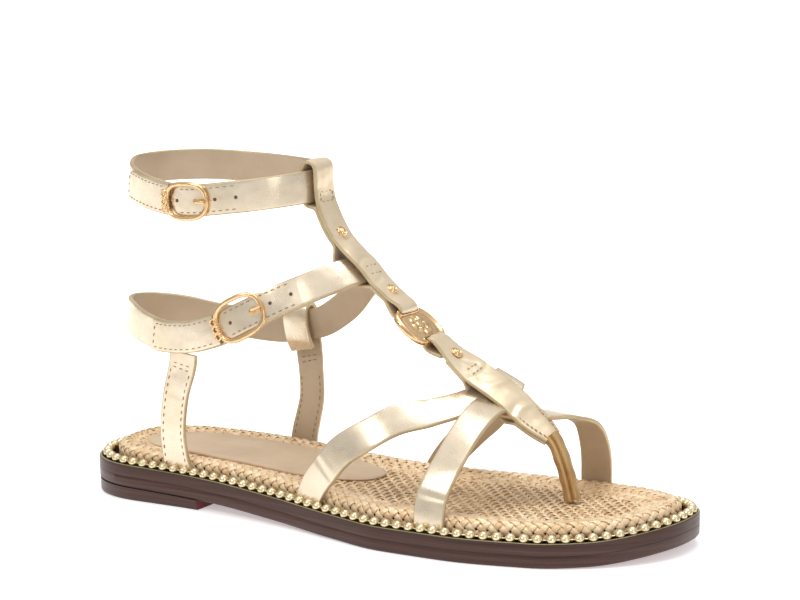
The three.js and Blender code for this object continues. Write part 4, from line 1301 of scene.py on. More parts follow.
@dataclass
class BeadChain:
    """Ball chain in the seat between the welt's lip and the footbed."""

    palette: Palette
    inset: float = 2.95
    diameter: float = 4.0
    pitch: float = 5.0
    rise: float = 0.75
    wire: float = 0.7

    def build(self) -> None:
        """Makes the beads and the wire that joins them."""
        ring = LAST.ring(self.inset, 900)
        ring[:, 2] = LAST.welt(ring[:, 0]) + self.rise
        ring = np.vstack([ring, ring[:1]])
        length = np.concatenate([[0], np.cumsum(np.linalg.norm(np.diff(ring, axis=0), axis=1))])
        count = int(round(length[-1] / self.pitch))

        def read(places: Array) -> Array:
            """Points at distances round the seat."""
            return np.stack([np.interp(places, length, ring[:, k]) for k in range(3)], -1)

        places = np.arange(count) * length[-1] / count
        points = read(places)
        along = tangents(points, True)
        face = np.tile([0.0, 0.0, 1.0], (count, 1))
        size = (self.diameter,) * 3
        beads = scatter("beads", points, along, face, size, self.palette.bead, 18)
        keep(beads, "bead_gold", "bead_rand")
        fine = np.arange(count * 3) * length[-1] / (count * 3)
        line = (read(fine), np.tile([0.0, 0.0, 1.0], (len(fine), 1)), np.ones(len(fine)))
        wire = ribbons("bead_wire", [line], self.wire, self.wire, self.palette.bead, 6, closed=True)
        keep(wire, "bead_gold")


# ------------------------------------------------------------------ stitches
class Thread(Enum):
    """The two threads of the upper."""

    BEIGE = "beige"
    GOLD = "gold"


@dataclass
class Stitching:
    """Collects stitches strap by strap and makes each thread's as one piece."""

    palette: Palette
    size: tuple[float, float, float] = (1.6, 0.46, 0.4)
    pitch: float = 2.7
    lists: dict[Thread, list[tuple[Array, Array, Array]]] = field(default_factory=dict)
    holes: list[tuple[Array, Array, Array]] = field(default_factory=list)

    def line(self, run: Run, across: float, low: float, high: float, lift: float,
             thread: Thread = Thread.BEIGE, pitch: float | None = None) -> None:
        """A row of stitches along a strap.

        Args:
            run: The strap.
            across: Distance of the row from its middle line.
            low: Where along the strap the row starts.
            high: Where it ends.
            lift: Height of the face above the run.
            thread: Which thread.
            pitch: Length of one stitch with its gap.
        """
        count = max(int(round((high - low) / (pitch or self.pitch))), 1)
        places = low + (np.arange(count) + 0.5) * (high - low) / count
        self.lists.setdefault(thread, []).append(run.at(places, across, lift))

    def bar(self, run: Run, along: float, half: float, lift: float, thread: Thread = Thread.BEIGE) -> None:
        """A row of stitches straight across a strap."""
        count = max(int(round(2 * half / self.pitch)), 2)
        across = np.linspace(-half, half, count + 1)
        across = (across[:-1] + across[1:]) / 2
        points, line, face = run.at(np.full(count, along), across, lift)
        self.lists.setdefault(thread, []).append((points, np.cross(face, line), face))

    def punch(self, run: Run, places: Sequence[float], lift: float) -> None:
        """A row of punched holes on a strap's middle line."""
        self.holes.append(run.at(np.array(places, float), 0, lift))

    def build(self) -> None:
        """Makes the stitches and the holes."""
        threads = {Thread.BEIGE: self.palette.thread, Thread.GOLD: self.palette.gold_thread}
        for thread, rows in self.lists.items():
            points, along, face = (np.vstack(part) for part in zip(*rows))
            piece = scatter(f"stitches_{thread.value}", points, along, face, self.size, threads[thread])
            keep(piece, "gold_leather")
        # the holes are flat dark discs on the strap, painted shade standing in for the openings
        points, along, face = (np.vstack(part) for part in zip(*self.holes))
        piece = scatter("punched_holes", points, along, face, (1.5, 1.5, 0.3), self.palette.dark, 14)
        keep(piece, "gold_leather")


# ------------------------------------------------------------------ upper
@dataclass
class VampStraps:
    """The two straps that cross over the ball of the foot."""

    palette: Palette
    width: float = 12.6
    REAR = (
        # x, turn, lift, rise, tilt
        (114.5, -90, 0, 0, 0), (118.5, -86, 0, 0, 0), (124.5, -81, 0, 0, 0), (130.5, -75, 0, 0, 0),
        (142, -64, 0, 0, 0), (154.5, -47, -0.3, 0, 0), (164, -32, -0.9, 0, 2), (174, -12, -0.9, -0.6, 12),
        (183, 3, -0.9, -6.4, 24), (189, 14, -0.4, -7.4, 22), (195, 22, 0, -5.8, 18), (200, 31, 0, -3.4, 12),
        (203.5, 45, 0, 0, 5), (204, 62, 0, 0, 0), (203, 80, 0, 0, 0), (203, 90, 0, 0, 0),
    )
    FRONT = (
        (173, -90, 0, 0, 0), (173, -78, 0, 0, 0), (174.5, -67, 0, 0, 0), (176, -56, 0, 0, 0),
        (177, -40, 0.4, 0, 4), (177.2, -26, 0.6, -1.4, 12), (177.2, -12, 0.6, -3.8, 18),
        (177, 4, 0.5, -4.2, 18), (176, 20, 0.5, 5.4, 16), (171, 38, 0.4, 7.6, 10), (163, 54, 0.2, 4.4, 4),
        (152, 68, 0, 1.5, 0), (143, 78, 0, 0, 0), (137, 86, 0, 0, 0), (135, 90, 0, 0, 0),
    )

    def build(self) -> None:
        """Makes both straps, each creased where it turns down to the sole."""
        p = self.palette
        metals = [p.foil, p.edge, p.lining]
        rear = Strap("vamp_strap_rear", vamp_run(self.REAR, self.width), thick=1.8, crumple=0.03,
                     creases=(Crease(19, 0, 15, -0.2, 1.0), Crease(21.2, 0.5, 14, 0.1, 1.2),
                              Crease(16.8, -0.5, 14, 0.08, 1.2)))
        front = Strap("vamp_strap_front", vamp_run(self.FRONT, self.width), thick=1.8, crumple=0.03,
                      creases=(Crease(14, 0, 15, -0.18, 1.0), Crease(16.2, 0.4, 14, 0.1, 1.2),
                               Crease(11.8, -0.4, 14, 0.08, 1.2)))
        keep(rear.build(metals), "gold_leather", "upper_vamp_straps")
        keep(front.build(metals), "gold_leather")


@dataclass(frozen=True)
class Plate:
    """Place of the medallion: its own length and height in the upright plane of the foot line."""

    x: float = 142.6
    y: float = 2.6
    z: float = 74.9
    pitch: float = math.radians(39.5)
    long: float = 20.0
    wide: float = 24.4
    power: float = 2.5

    def on(self, along: float, above: float) -> tuple[float, float]:
        """x and z of a place in the plate's own length and height."""
        c, s = math.cos(self.pitch), math.sin(self.pitch)
        return self.x + along * c + above * s, self.z - along * s + above * c

    def point(self, along: Array, across: Array, above: Array | float = 0) -> Array:
        """Points in the plate's own length, width and height."""
        along, across, above = np.broadcast_arrays(along, across, above)
        c, s = math.cos(self.pitch), math.sin(self.pitch)
        return np.stack([self.x + along * c + above * s, self.y + across,
                         self.z - along * s + above * c], -1)

    @property
    def normal(self) -> Array:
        """Direction out of its face."""
        return np.array([math.sin(self.pitch), 0, math.cos(self.pitch)])


PLATE = Plate()


@dataclass
class InstepStraps:
    """Folded instep strap above the medallion, the lower strap below it and the toe post."""

    palette: Palette
    stitching: Stitching
    layer: float = 1.6
    lap: float = 0.13
    post_radius: float = 3.1
    UPPER = (
        # x, z, width
        (93.4, 129, 13.6), (93.6, 133.6, 13.6), (94.9, 136.2, 13.6), (97.4, 136.6, 13.6),
        (99.4, 134.8, 13.6), (99.8, 131, 13.6), (100, 126, 13.6), (101.2, 120, 14),
        (105.8, 110.6, 14.4), (112, 103.2, 14.4), (119.4, 97.2, 14.4), (125.2, 91.2, 14.2),
        (*PLATE.on(-15.4, 1.6), 13.4), (*PLATE.on(-11.4, 2.2), 12.4), (*PLATE.on(-9.2, 2.2), 12.2),
        (*PLATE.on(-7.7, 1.5), 12.2), (*PLATE.on(-7.45, 0), 12.2), (*PLATE.on(-7.7, -1.5), 12.2),
        (*PLATE.on(-9.2, -2.2), 12.2), (*PLATE.on(-12, -1.6), 12.4), (*PLATE.on(-15.6, 0.1), 12.8),
    )
    TAIL = ((93.4, 130, 13.6), (93.5, 124, 13.6), (95.6, 119.8, 13.6), (99.6, 118.4, 13.6),
            (102.8, 113.6, 13.6))
    LOWER = (
        (*PLATE.on(15.6, 0.1), 12.4), (*PLATE.on(12, -1.6), 12.2), (*PLATE.on(9.2, -2.2), 12.2),
        (*PLATE.on(7.7, -1.5), 12.2), (*PLATE.on(7.45, 0), 12.2), (*PLATE.on(7.7, 1.5), 12.2),
        (*PLATE.on(9.2, 2.2), 12.2), (*PLATE.on(12, 2.2), 12.8), (158.4, 64.6, 14), (165, 60.2, 14.6),
        (171, 56.8, 14.6), (177, 53.4, 14.6), (182.6, 49.8, 14.6), (188.4, 45, 14.2), (194.2, 41, 12.6),
        (199.4, 37.2, 8.6),
    )
    POST = ((198.4, 37.6), (200.8, 34.8), (203.4, 29), (205.8, 22), (207.8, 14))
    UPPER_BACKED = (7, 12)
    twist: float = 19.0
    LOW_STRAP_ROW = 9.75
    LOWER_BACKED_FROM = 8

    def share(self, row: float, rows: Rows) -> float:
        """Place of a row as a share of its table."""
        return row / (len(rows) - 1)

    def along(self, run: Run, x: float, z: float) -> float:
        """Distance along a run of its point nearest to a place beside the foot line."""
        gap = np.hypot(run.point[:, 0] - x, run.point[:, 2] - z)
        return float(run.length[int(np.argmin(gap))])

    def build_upper(self) -> None:
        """The folded strap: outer layer, second layer with the tunnel, and its end behind."""
        p = self.palette
        metals = [p.soft_foil, p.edge, p.lining]
        run = profile_run(self.UPPER, 0.7)

        def here(row: int) -> float:
            """Distance along the strap of a row of its table."""
            return self.along(run, *self.UPPER[row][:2])

        tunnel = self.along(run, 113.4, 101.9)
        creases = (
            Crease(tunnel - 5.5, 0, 15, -0.55, 1.0, 90, 0.05),
            Crease(tunnel + 5, 0, 14, -0.5, 0.9, 90, -0.06),
            Crease(tunnel, 0, 13, 0.7, 3.6), Crease(here(7) + 2, 1, 9, -0.3, 0.8, 70, 0.03),
            Crease(here(11), -2, 8, -0.35, 0.9, 100, 0.04), Crease(here(12) - 1, 2, 7, 0.3, 1.2, 60))
        strap = Strap("instep_strap_outer", run, thick=1.5, crown=0.35, creases=creases, crumple=0.36,
                      crumple_size=7)
        keep(strap.build(metals), "gold_leather", "upper_instep_strap")
        low, high = (self.share(row, self.UPPER) for row in self.UPPER_BACKED)
        second = profile_run(self.UPPER, 0.8, low, high)
        share = second.length / second.length[-1]
        centre = (self.LOW_STRAP_ROW - self.UPPER_BACKED[0]) / (self.UPPER_BACKED[1] - self.UPPER_BACKED[0])
        swing = 1 - smoothstep(0.13, 0.25, np.abs(share - centre - 0.045))
        depth = self.layer - self.lap + 4.6 * swing
        inner = Strap("instep_strap_inner", second.moved(-depth), thick=1.5, crumple=0.15)
        keep(inner.build([p.lining, p.edge, p.lining]), "gold_leather")
        tail = Strap("instep_strap_fold", profile_run(self.TAIL, 0.8), thick=1.5, crumple=0.1)
        keep(tail.build([p.lining, p.edge, p.lining]), "gold_leather")
        lift = 0.95
        top = here(6)
        for place in (top + 1.2, top + 5.2):
            self.stitching.bar(run, place, 4.6, lift, Thread.GOLD)
        for across in (-4.6, 4.6):
            self.stitching.line(run, across, top + 1.2, top + 5.2, lift, Thread.GOLD, 2.2)
        for place in (tunnel + 9, tunnel + 12.6):
            self.stitching.bar(run, place, 4.4, lift + 0.1, Thread.GOLD)
        for place in (tunnel - 10.5, tunnel - 8):
            self.stitching.bar(run, place, 3.6, lift + 0.1, Thread.GOLD)

    def build_lower(self) -> None:
        """The strap below the medallion, which passes over the vamp straps and narrows to the post."""
        p = self.palette
        run = profile_run(self.LOWER, 0.7)
        crest = self.along(run, 178, 52.8)
        end = float(run.length[-1])
        start = self.along(run, *self.LOWER[7][:2])
        run = run.turned(self.twist * smoothstep(start, start + 16, run.length))
        creases = (
            Crease(crest - 10.5, 0, 15, -0.3, 1.2, 90, 0.05),
            Crease(crest + 8.2, 0, 15, -0.35, 1.3, 90, -0.05),
            Crease(crest - 2.5, 1.5, 12, 0.4, 1.4, 75, 0.03), Crease(crest - 17, 1, 9, -0.35, 0.9, 40),
            Crease(crest + 11, 0, 12, 0.35, 1.2, 90, -0.05))
        strap = Strap("instep_strap_lower", run, thick=1.5, crown=0.38, creases=creases, crumple=0.3,
                      crumple_size=7.5)
        keep(strap.build([p.soft_foil, p.edge, p.lining]), "gold_leather")
        low = self.share(self.LOWER_BACKED_FROM, self.LOWER)
        second = profile_run(self.LOWER, 0.8, low, 1)
        second = second.turned(self.twist * smoothstep(0, 14.5, second.length))
        under = 3.4 * smoothstep(9, 14, second.length) * (1 - smoothstep(32, 37, second.length))
        inner = Strap("instep_strap_lower_back", second.moved(-(self.layer - self.lap) - under), thick=1.5,
                      crumple=0.15)
        keep(inner.build([p.lining, p.edge, p.lining]), "gold_leather")
        lift = 1.0
        for across in (-1, 1):
            for k in range(9):
                place = crest + 12.5 + k * 1.9
                half = float(np.interp(place, run.length, run.width)) / 2 - 2.0
                if place < end - 1.5:
                    self.stitching.line(run, across * half, place, place + 1.9, lift, Thread.GOLD, 1.9)
        self.stitching.bar(run, crest + 10.6, 4.6, lift, Thread.GOLD)
        for place in (crest - 15, crest - 12.2):
            self.stitching.bar(run, place, 3.4, lift + 0.1, Thread.GOLD)

    def build_post(self) -> None:
        """Toe post: a rolled tube with its seam on the outer side, a little wider at the top."""
        table = np.array([(x, FOOT_LINE, z) for x, z in self.POST], float)
        share = even(lambda s: catmull(table, s), 0.6)
        centre = catmull(table, share)
        line = tangents(centre)
        side = np.array([0.0, 1.0, 0.0])
        side = unit(side[None] - line * (line @ side)[:, None])
        front = unit(np.cross(line, side))
        angle = np.linspace(0, 2 * math.pi, 41)[:-1]
        seam = math.radians(-62)
        off = np.mod(angle - seam + math.pi, 2 * math.pi) - math.pi
        groove = -1.1 * np.exp(-((off / 0.2) ** 2)) + 0.3 * np.exp(-(((np.abs(off) - 0.42) / 0.2) ** 2))
        down = np.linspace(0, 1, len(centre))
        radius = self.post_radius * (1.0 + 0.08 * np.exp(-((down / 0.05) ** 2))) + 0.12 * np.sin(down * 21)
        reach = radius[:, None] + groove[None]
        a, b = reach * np.cos(angle)[None], reach * np.sin(angle)[None]
        # angle 0 points to the toe, so that the seam lies to the outer side of it
        rings = centre[:, None] + front[:, None] * a[..., None] + side[:, None] * b[..., None]
        shape = Shape()
        faces = skin(rings)
        shape.add(rings, faces)
        post = shape.build("toe_post", [self.palette.post_foil], sharp=80)
        if volume_sign(post) < 0:
            post.data.flip_normals()
        keep(post, "gold_leather")

    def build(self) -> None:
        """Makes both straps and the post."""
        self.build_upper()
        self.build_lower()
        self.build_post()


def volume_sign(piece: bpy.types.Object) -> float:
    """Signed volume of a closed mesh: below 0 where its faces point inwards."""
    mesh = piece.data
    mesh.calc_loop_triangles()
    points = np.zeros(len(mesh.vertices) * 3)
    mesh.vertices.foreach_get("co", points)
    corners = np.zeros(len(mesh.loop_triangles) * 3, int)
    mesh.loop_triangles.foreach_get("vertices", corners)
    a, b, c = points.reshape(-1, 3)[corners.reshape(-1, 3)].transpose(1, 0, 2)
    return float(np.einsum("ij,ij->", a, np.cross(b, c)) / 6)


LOW_LOOP = Loop(57, 60, 48.5, 31, 0.12, 12.6, (
    # degrees, z, lean
    (0, 95.2, 48), (20, 92.6, 45), (36, 85.5, 36), (54, 74, 22), (70, 66.2, 10), (90, 62.8, 4),
    (117, 65.2, 4), (143, 69.4, 8), (165, 71.2, 11), (190, 72, 11), (215, 71.6, 9), (237, 69, 5),
    (254, 67.4, 3), (268, 68.2, 3), (281, 71.7, 6), (293, 77.6, 12), (305, 83.2, 20), (318, 88.2, 32),
    (333, 92.4, 42), (348, 94.9, 47)))
TOP_LOOP = Loop(55, 42, 42.5, 31, 0.1, 12.6, (
    (0, 127.4, 4), (60, 127.8, 2), (96, 129, 0), (130, 130.2, 2), (180, 129.4, 4), (225, 125.8, 3),
    (270, 122.2, 0), (300, 124.2, 1), (330, 126.2, 3)))


@dataclass
class AnkleStrap:
    """A buckled ankle strap: the loop, its punched free end and the chape that holds the buckle."""

    name: str
    node: str
    chape_node: str
    loop: Loop
    billet: tuple[float, float]
    chape: tuple[float, float]
    holes: tuple[float, ...]
    palette: Palette
    stitching: Stitching
    chape_round: bool = False
    layer: float = 1.55
    chape_lift: float = 2.0

    def along(self, run: Run, deg: float, low: float) -> float:
        """Distance along a run that starts at low degrees of the place at deg."""
        share = self.loop.run(low, deg, 1.0)
        return float(share.length[-1])

    def build(self) -> None:
        """Makes the strap's parts and their stitches."""
        p = self.palette
        metals = [p.foil, p.edge, p.lining]
        run = self.loop.run()
        strap = Strap(self.name, run, thick=1.9, crown=0.18, crumple=0.1, closed=True)
        keep(strap.build(metals), "gold_leather", self.node)
        low, high = self.billet
        free = self.loop.run(low, high, self.layer, 0.8, self.loop.width - 0.5)
        end = float(free.length[-1])
        free = free.moved(-1.05 * smoothstep(end - 16, end - 1, free.length))
        billet = Strap(f"{self.name}_free_end", free, thick=0.9, crown=0.14, crumple=0.1, edge=0.4,
                       round_start=True)
        keep(billet.build(metals), "gold_leather")
        lift = 0.62
        for across in (-4.5, 4.5):
            self.stitching.line(free, across, 4, end - 6, lift)
        self.stitching.punch(free, [self.along(free, deg, low) for deg in self.holes], lift)
        low, high = self.chape
        held = self.loop.run(low, high, self.chape_lift, 0.8, self.loop.width - 0.2)
        chape = Strap(f"{self.name}_chape", held, thick=1.1, crown=0.14, crumple=0.08, edge=0.45,
                      round_start=self.chape_round)
        keep(chape.build(metals), "gold_leather", self.chape_node)
        for across in (-4.7, 4.7):
            self.stitching.line(held, across, 1.6, float(held.length[-1]) - 2.5, 0.72)
        self.stitching.bar(held, 1.6, 4.2, 0.72)


@dataclass
class Quarters:
    """The upright straps that join the ankle strap to the sole, one on each side of the foot."""

    palette: Palette
    stitching: Stitching
    LATERAL = (
        # x, y, z, width
        (50.5, -26.6, 11.4, 12.4), (48.2, -26.8, 18, 12.2), (47.2, -27.4, 30, 11.6), (49, -27.6, 44, 11.6),
        (52, -26.9, 56, 12.4), (52.8, -26.9, 61.5, 12.4),
    )
    MEDIAL = (
        (71, 31.6, 10.6, 12.8), (71.6, 32.4, 20, 12.2), (74, 34, 34.5, 11.4), (73.2, 35, 46, 11.4),
        (71.8, 36.4, 52, 11.8), (70, 38.2, 59, 11.8), (69, 38.3, 67, 11.8), (68.6, 37.6, 71.6, 11.8),
        (68.4, 34.5, 73.9, 11.8), (68.6, 31.1, 72.2, 11.8), (69, 30, 67, 11.8), (70, 30.7, 59.6, 11.8),
        (71, 32.2, 55, 11.6),
    )

    def build(self) -> None:
        """Makes both quarters."""
        p = self.palette
        metals = [p.foil, p.edge, p.lining]
        run = space_run(self.LATERAL, (-1, 0, 0), 0.8)
        quarter = Strap("quarter_lateral", run, thick=1.8, crumple=0.12, creases=(
            Crease(34, 0, 12, -0.12, 1.8), Crease(12, 1, 10, -0.15, 1.6, 80)))
        keep(quarter.build(metals), "gold_leather")
        end = float(run.length[-1])
        for across in (-1, 1):
            for k in range(13):
                place = 5 + k * (end - 12) / 13
                half = float(np.interp(place, run.length, run.width)) / 2 - 1.6
                self.stitching.line(run, across * half, place, place + (end - 12) / 13, 1.05, pitch=2.6)
        for place in (end - 6.4, end - 4.6):
            self.stitching.bar(run, place, 4.3, 1.08)
        run = space_run(self.MEDIAL, (1, 0, 0), 0.8)
        quarter = Strap("quarter_medial", run, thick=1.7, crumple=0.12, creases=(
            Crease(36, 0, 12, -0.3, 1.0), Crease(60, 0, 12, 0.3, 1.4)))
        keep(quarter.build(metals), "gold_leather", "upper_medial_quarter")
        for across in (-4.3, 4.3):
            self.stitching.line(run, across, 5, 34, 1.05)
            self.stitching.line(run, across, 5, 34, -1.0)
        for place in (39.5, 41.6):
            self.stitching.bar(run, place, 3.9, 1.05)
            self.stitching.bar(run, place, 3.9, -1.0)


# ------------------------------------------------------------------ hardware
@dataclass
class Buckle:
    """A bowed wire frame with its prong, and a ribbed barrel and three rings on its rear side."""

    name: str
    loop: Loop
    deg: float
    long: float
    high: float
    palette: Palette
    wire: float = 0.95
    prong: float = 0.85
    lift: float = 3.4
    bow: float = 90.0
    power: float = 0.75

    def __post_init__(self) -> None:
        """Sets the buckle's own directions on the strap."""
        ends, out = self.loop.frame(np.array([self.deg - 6, self.deg + 6, self.deg]), self.lift)
        self.centre = ends[2]
        self.line = unit((ends[1] - ends[0])[None])[0]
        self.out = unit((out[2] - self.line * (out[2] @ self.line))[None])[0]
        self.up = np.cross(self.out, self.line)

    def place(self, along: Array, up: Array, out: Array) -> Array:
        """Points at distances along the strap, across it and out of it, bent to the leg."""
        along, up, out = np.broadcast_arrays(*(np.asarray(v, float) for v in (along, up, out)))
        rise = out - along**2 / self.bow
        return (self.centre + along[..., None] * self.line + up[..., None] * self.up
                + rise[..., None] * self.out)

    def build(self, node: str, prong_node: str) -> None:
        """Makes the frame, barrel and rings as one piece and the prong as another."""
        rose = self.palette.rose
        turn = np.linspace(0, 2 * math.pi, 97)[:-1]
        c, s = np.cos(turn), np.sin(turn)
        along = np.sign(c) * np.abs(c) ** self.power * (self.long / 2 - self.wire)
        up = np.sign(s) * np.abs(s) ** self.power * (self.high / 2 - self.wire)
        points = self.place(along, up, 0 * up)
        shape = Shape()
        self.tube(shape, points, np.full(len(points), self.wire), True)
        ribs = np.linspace(-1, 1, 49)
        rear = -(self.long / 2 - self.wire)
        swell = 1.1 + 0.2 * np.cos(ribs * math.pi * 7) - 0.3 * np.abs(ribs) ** 4
        self.tube(shape, self.place(np.full(49, rear), ribs * 3.6, np.zeros(49)), swell, False)
        for row in (-1, 0, 1):
            scroll = self.place(rear - 0.7 + 1.35 * c[::2], 2.95 * row + 1.35 * s[::2], 1.0 + 0 * c[::2])
            self.tube(shape, scroll, np.full(48, 0.45), True, 10)
        keep(shape.build(f"{self.name}_buckle", [rose], sharp=70), "rose_gold", node)
        front = self.long / 2 - self.wire
        rest = self.wire + self.prong + 0.3
        knots = np.array([(front - 5.4, -1.6), (front - 4.8, -0.5), (front - 3.6, 0.7),
                          (front - 1.8, rest - 0.2), (front + 1.1, rest)])
        path = catmull(knots, np.linspace(0, 1, 30))
        shape = Shape()
        size = np.full(30, self.prong) * np.linspace(1.15, 0.9, 30)
        path[:, 1] += path[:, 0] ** 2 / self.bow
        path[-6:, 1] -= np.linspace(0, 0.25, 6)
        self.tube(shape, self.place(path[:, 0], 0 * path[:, 0], path[:, 1]), size, False)
        keep(shape.build(f"{self.name}_prong", [rose], sharp=70), "rose_gold", prong_node)

    def tube(self, shape: Shape, points: Array, radius: Array, closed: bool, sides: int = 18) -> None:
        """Adds a round tube along points to a shape."""
        line = tangents(points, closed)
        first = unit(np.cross(line, self.out[None]))
        second = unit(np.cross(line, first))
        angle = np.linspace(0, 2 * math.pi, sides + 1)[:-1]
        rings = (points[:, None] + first[:, None] * (radius[:, None] * np.cos(angle))[..., None]
                 + second[:, None] * (radius[:, None] * np.sin(angle))[..., None])
        shape.add(rings, skin(rings, closed))


@dataclass
class Medallion:
    """Rounded plate on the instep with a raised rim, slots for the straps and a plain rosette."""

    palette: Palette
    thick: float = 2.0
    slot_from: float = 6.3
    slot_to: float = 8.6
    slot_half: float = 6.6
    petals: int = 8

    def relief(self, along: Array, across: Array) -> Array:
        """Height of the pressed pattern at places on the plate."""
        reach = np.hypot(along, across)
        turn = np.arctan2(across, along)
        a = np.abs(along) / (PLATE.long / 2)
        b = np.abs(across) / (PLATE.wide / 2)
        share = (a**PLATE.power + b**PLATE.power) ** (1 / PLATE.power)
        rim = 0.55 * np.exp(-(((share - 0.9) / 0.07) ** 2)) - 0.25 * np.exp(-(((share - 0.74) / 0.06) ** 2))
        inside = 1 - smoothstep(0.6, 0.72, share)
        dome = 0.75 * np.sqrt(np.clip(1 - (reach / 2.3) ** 2, 0, 1))
        leaf = np.abs(np.cos(self.petals / 2 * turn)) ** 0.7 * smoothstep(2.3, 3.0, reach)
        leaf = leaf * (1 - smoothstep(4.4, 5.8, reach)) * 0.55
        ring = 0.3 * np.exp(-(((reach - 2.65) / 0.28) ** 2))
        return rim + inside * (dome + leaf + ring)

    def build(self) -> None:
        """Makes the plate as rings from its underside to its middle, and adds both slots."""
        power = PLATE.power
        turn = np.linspace(0, 2 * math.pi, 193)[:-1]
        c, s = np.cos(turn), np.sin(turn)
        flat_u = np.sign(c) * np.abs(c) ** (2 / power) * PLATE.long / 2
        flat_v = np.sign(s) * np.abs(s) ** (2 / power) * PLATE.wide / 2
        rings, heights = [], []
        for scale, lift in ((0.94, -0.5), (0.985, -0.42), (1.0, -0.2), (1.0, 0.2), (0.985, 0.4)):
            rings.append(np.stack([flat_u * scale, flat_v * scale], -1))
            heights.append(np.full(len(turn), lift * self.thick))
        for scale in np.linspace(0.97, 0.02, 60):
            ring = np.stack([flat_u * scale, flat_v * scale], -1)
            rings.append(ring)
            heights.append(self.thick * 0.42 + self.relief(ring[:, 0], ring[:, 1]))
        rings, heights = np.array(rings), np.array(heights)
        points = PLATE.point(rings[..., 0], rings[..., 1], heights)
        shape = Shape()
        shape.add(points, skin(points))
        for side in (-1, 1):
            self.slot(shape, side)
        piece = shape.build("medallion_plate", [self.palette.rose, self.palette.dark], sharp=60)
        keep(piece, "rose_gold", "medallion")

    def slot(self, shape: Shape, side: int) -> None:
        """Adds the dark opening of one slot, a painted shade standing in for its hollow, and the raised
        border round it.
        """
        middle = side * (self.slot_from + self.slot_to) / 2
        half_u, half_v = (self.slot_to - self.slot_from) / 2, self.slot_half
        turn = np.linspace(0, 2 * math.pi, 65)[:-1]
        c, s = np.cos(turn), np.sin(turn)
        u = np.sign(c) * np.abs(c) ** 0.4 * half_u
        v = np.sign(s) * np.abs(s) ** 0.4 * half_v
        level = self.thick * 0.5
        rings = np.array([PLATE.point(middle + u * k, v * (1 - (1 - k) * 0.15), level + h)
                          for k, h in ((1.0, -0.5), (1.0, 0.22), (0.85, 0.24), (0.05, 0.24))])
        # the opening is a dark face in slot 1, painted shade standing in for the slot's hollow
        shape.add(rings, skin(rings), 1)
        border = np.array([PLATE.point(middle + u * k, v * (1 + (k - 1) * 0.18), level + h)
                           for k, h in ((1.5, -0.5), (1.45, 0.28), (1.28, 0.46), (1.1, 0.3), (1.02, -0.4))])
        shape.add(border, skin(border))


@dataclass
class Stud:
    """A round stud: a stepped flange, a ring and a raised middle."""

    name: str
    palette: Palette
    radius: float = 2.6
    OUTLINE = ((1.0, 0.0), (1.0, 0.35), (0.96, 0.5), (0.9, 0.58), (0.82, 0.5), (0.74, 0.5), (0.66, 0.85),
               (0.56, 1.0), (0.46, 0.85), (0.42, 0.7), (0.36, 0.78), (0.3, 1.1), (0.2, 1.3), (0.08, 1.38))

    def build(self, point: Array, along: Array, out: Array, node: str) -> None:
        """Turns the outline about the direction out of the strap.

        Args:
            point: Middle of its underside.
            along: A direction across its axis.
            out: Its axis.
            node: The CAD node that it stands for.
        """
        turn = np.linspace(0, 2 * math.pi, 37)[:-1]
        side = np.cross(out, along)
        rings = []
        for share, rise in self.OUTLINE:
            arm = self.radius * share
            rings.append(point + along * (arm * np.cos(turn))[:, None] + side * (arm * np.sin(turn))[:, None]
                         + out * rise)
        rings = np.array(rings)
        shape = Shape()
        shape.add(rings, skin(rings))
        keep(shape.build(self.name, [self.palette.rose], sharp=40), "rose_gold", node)


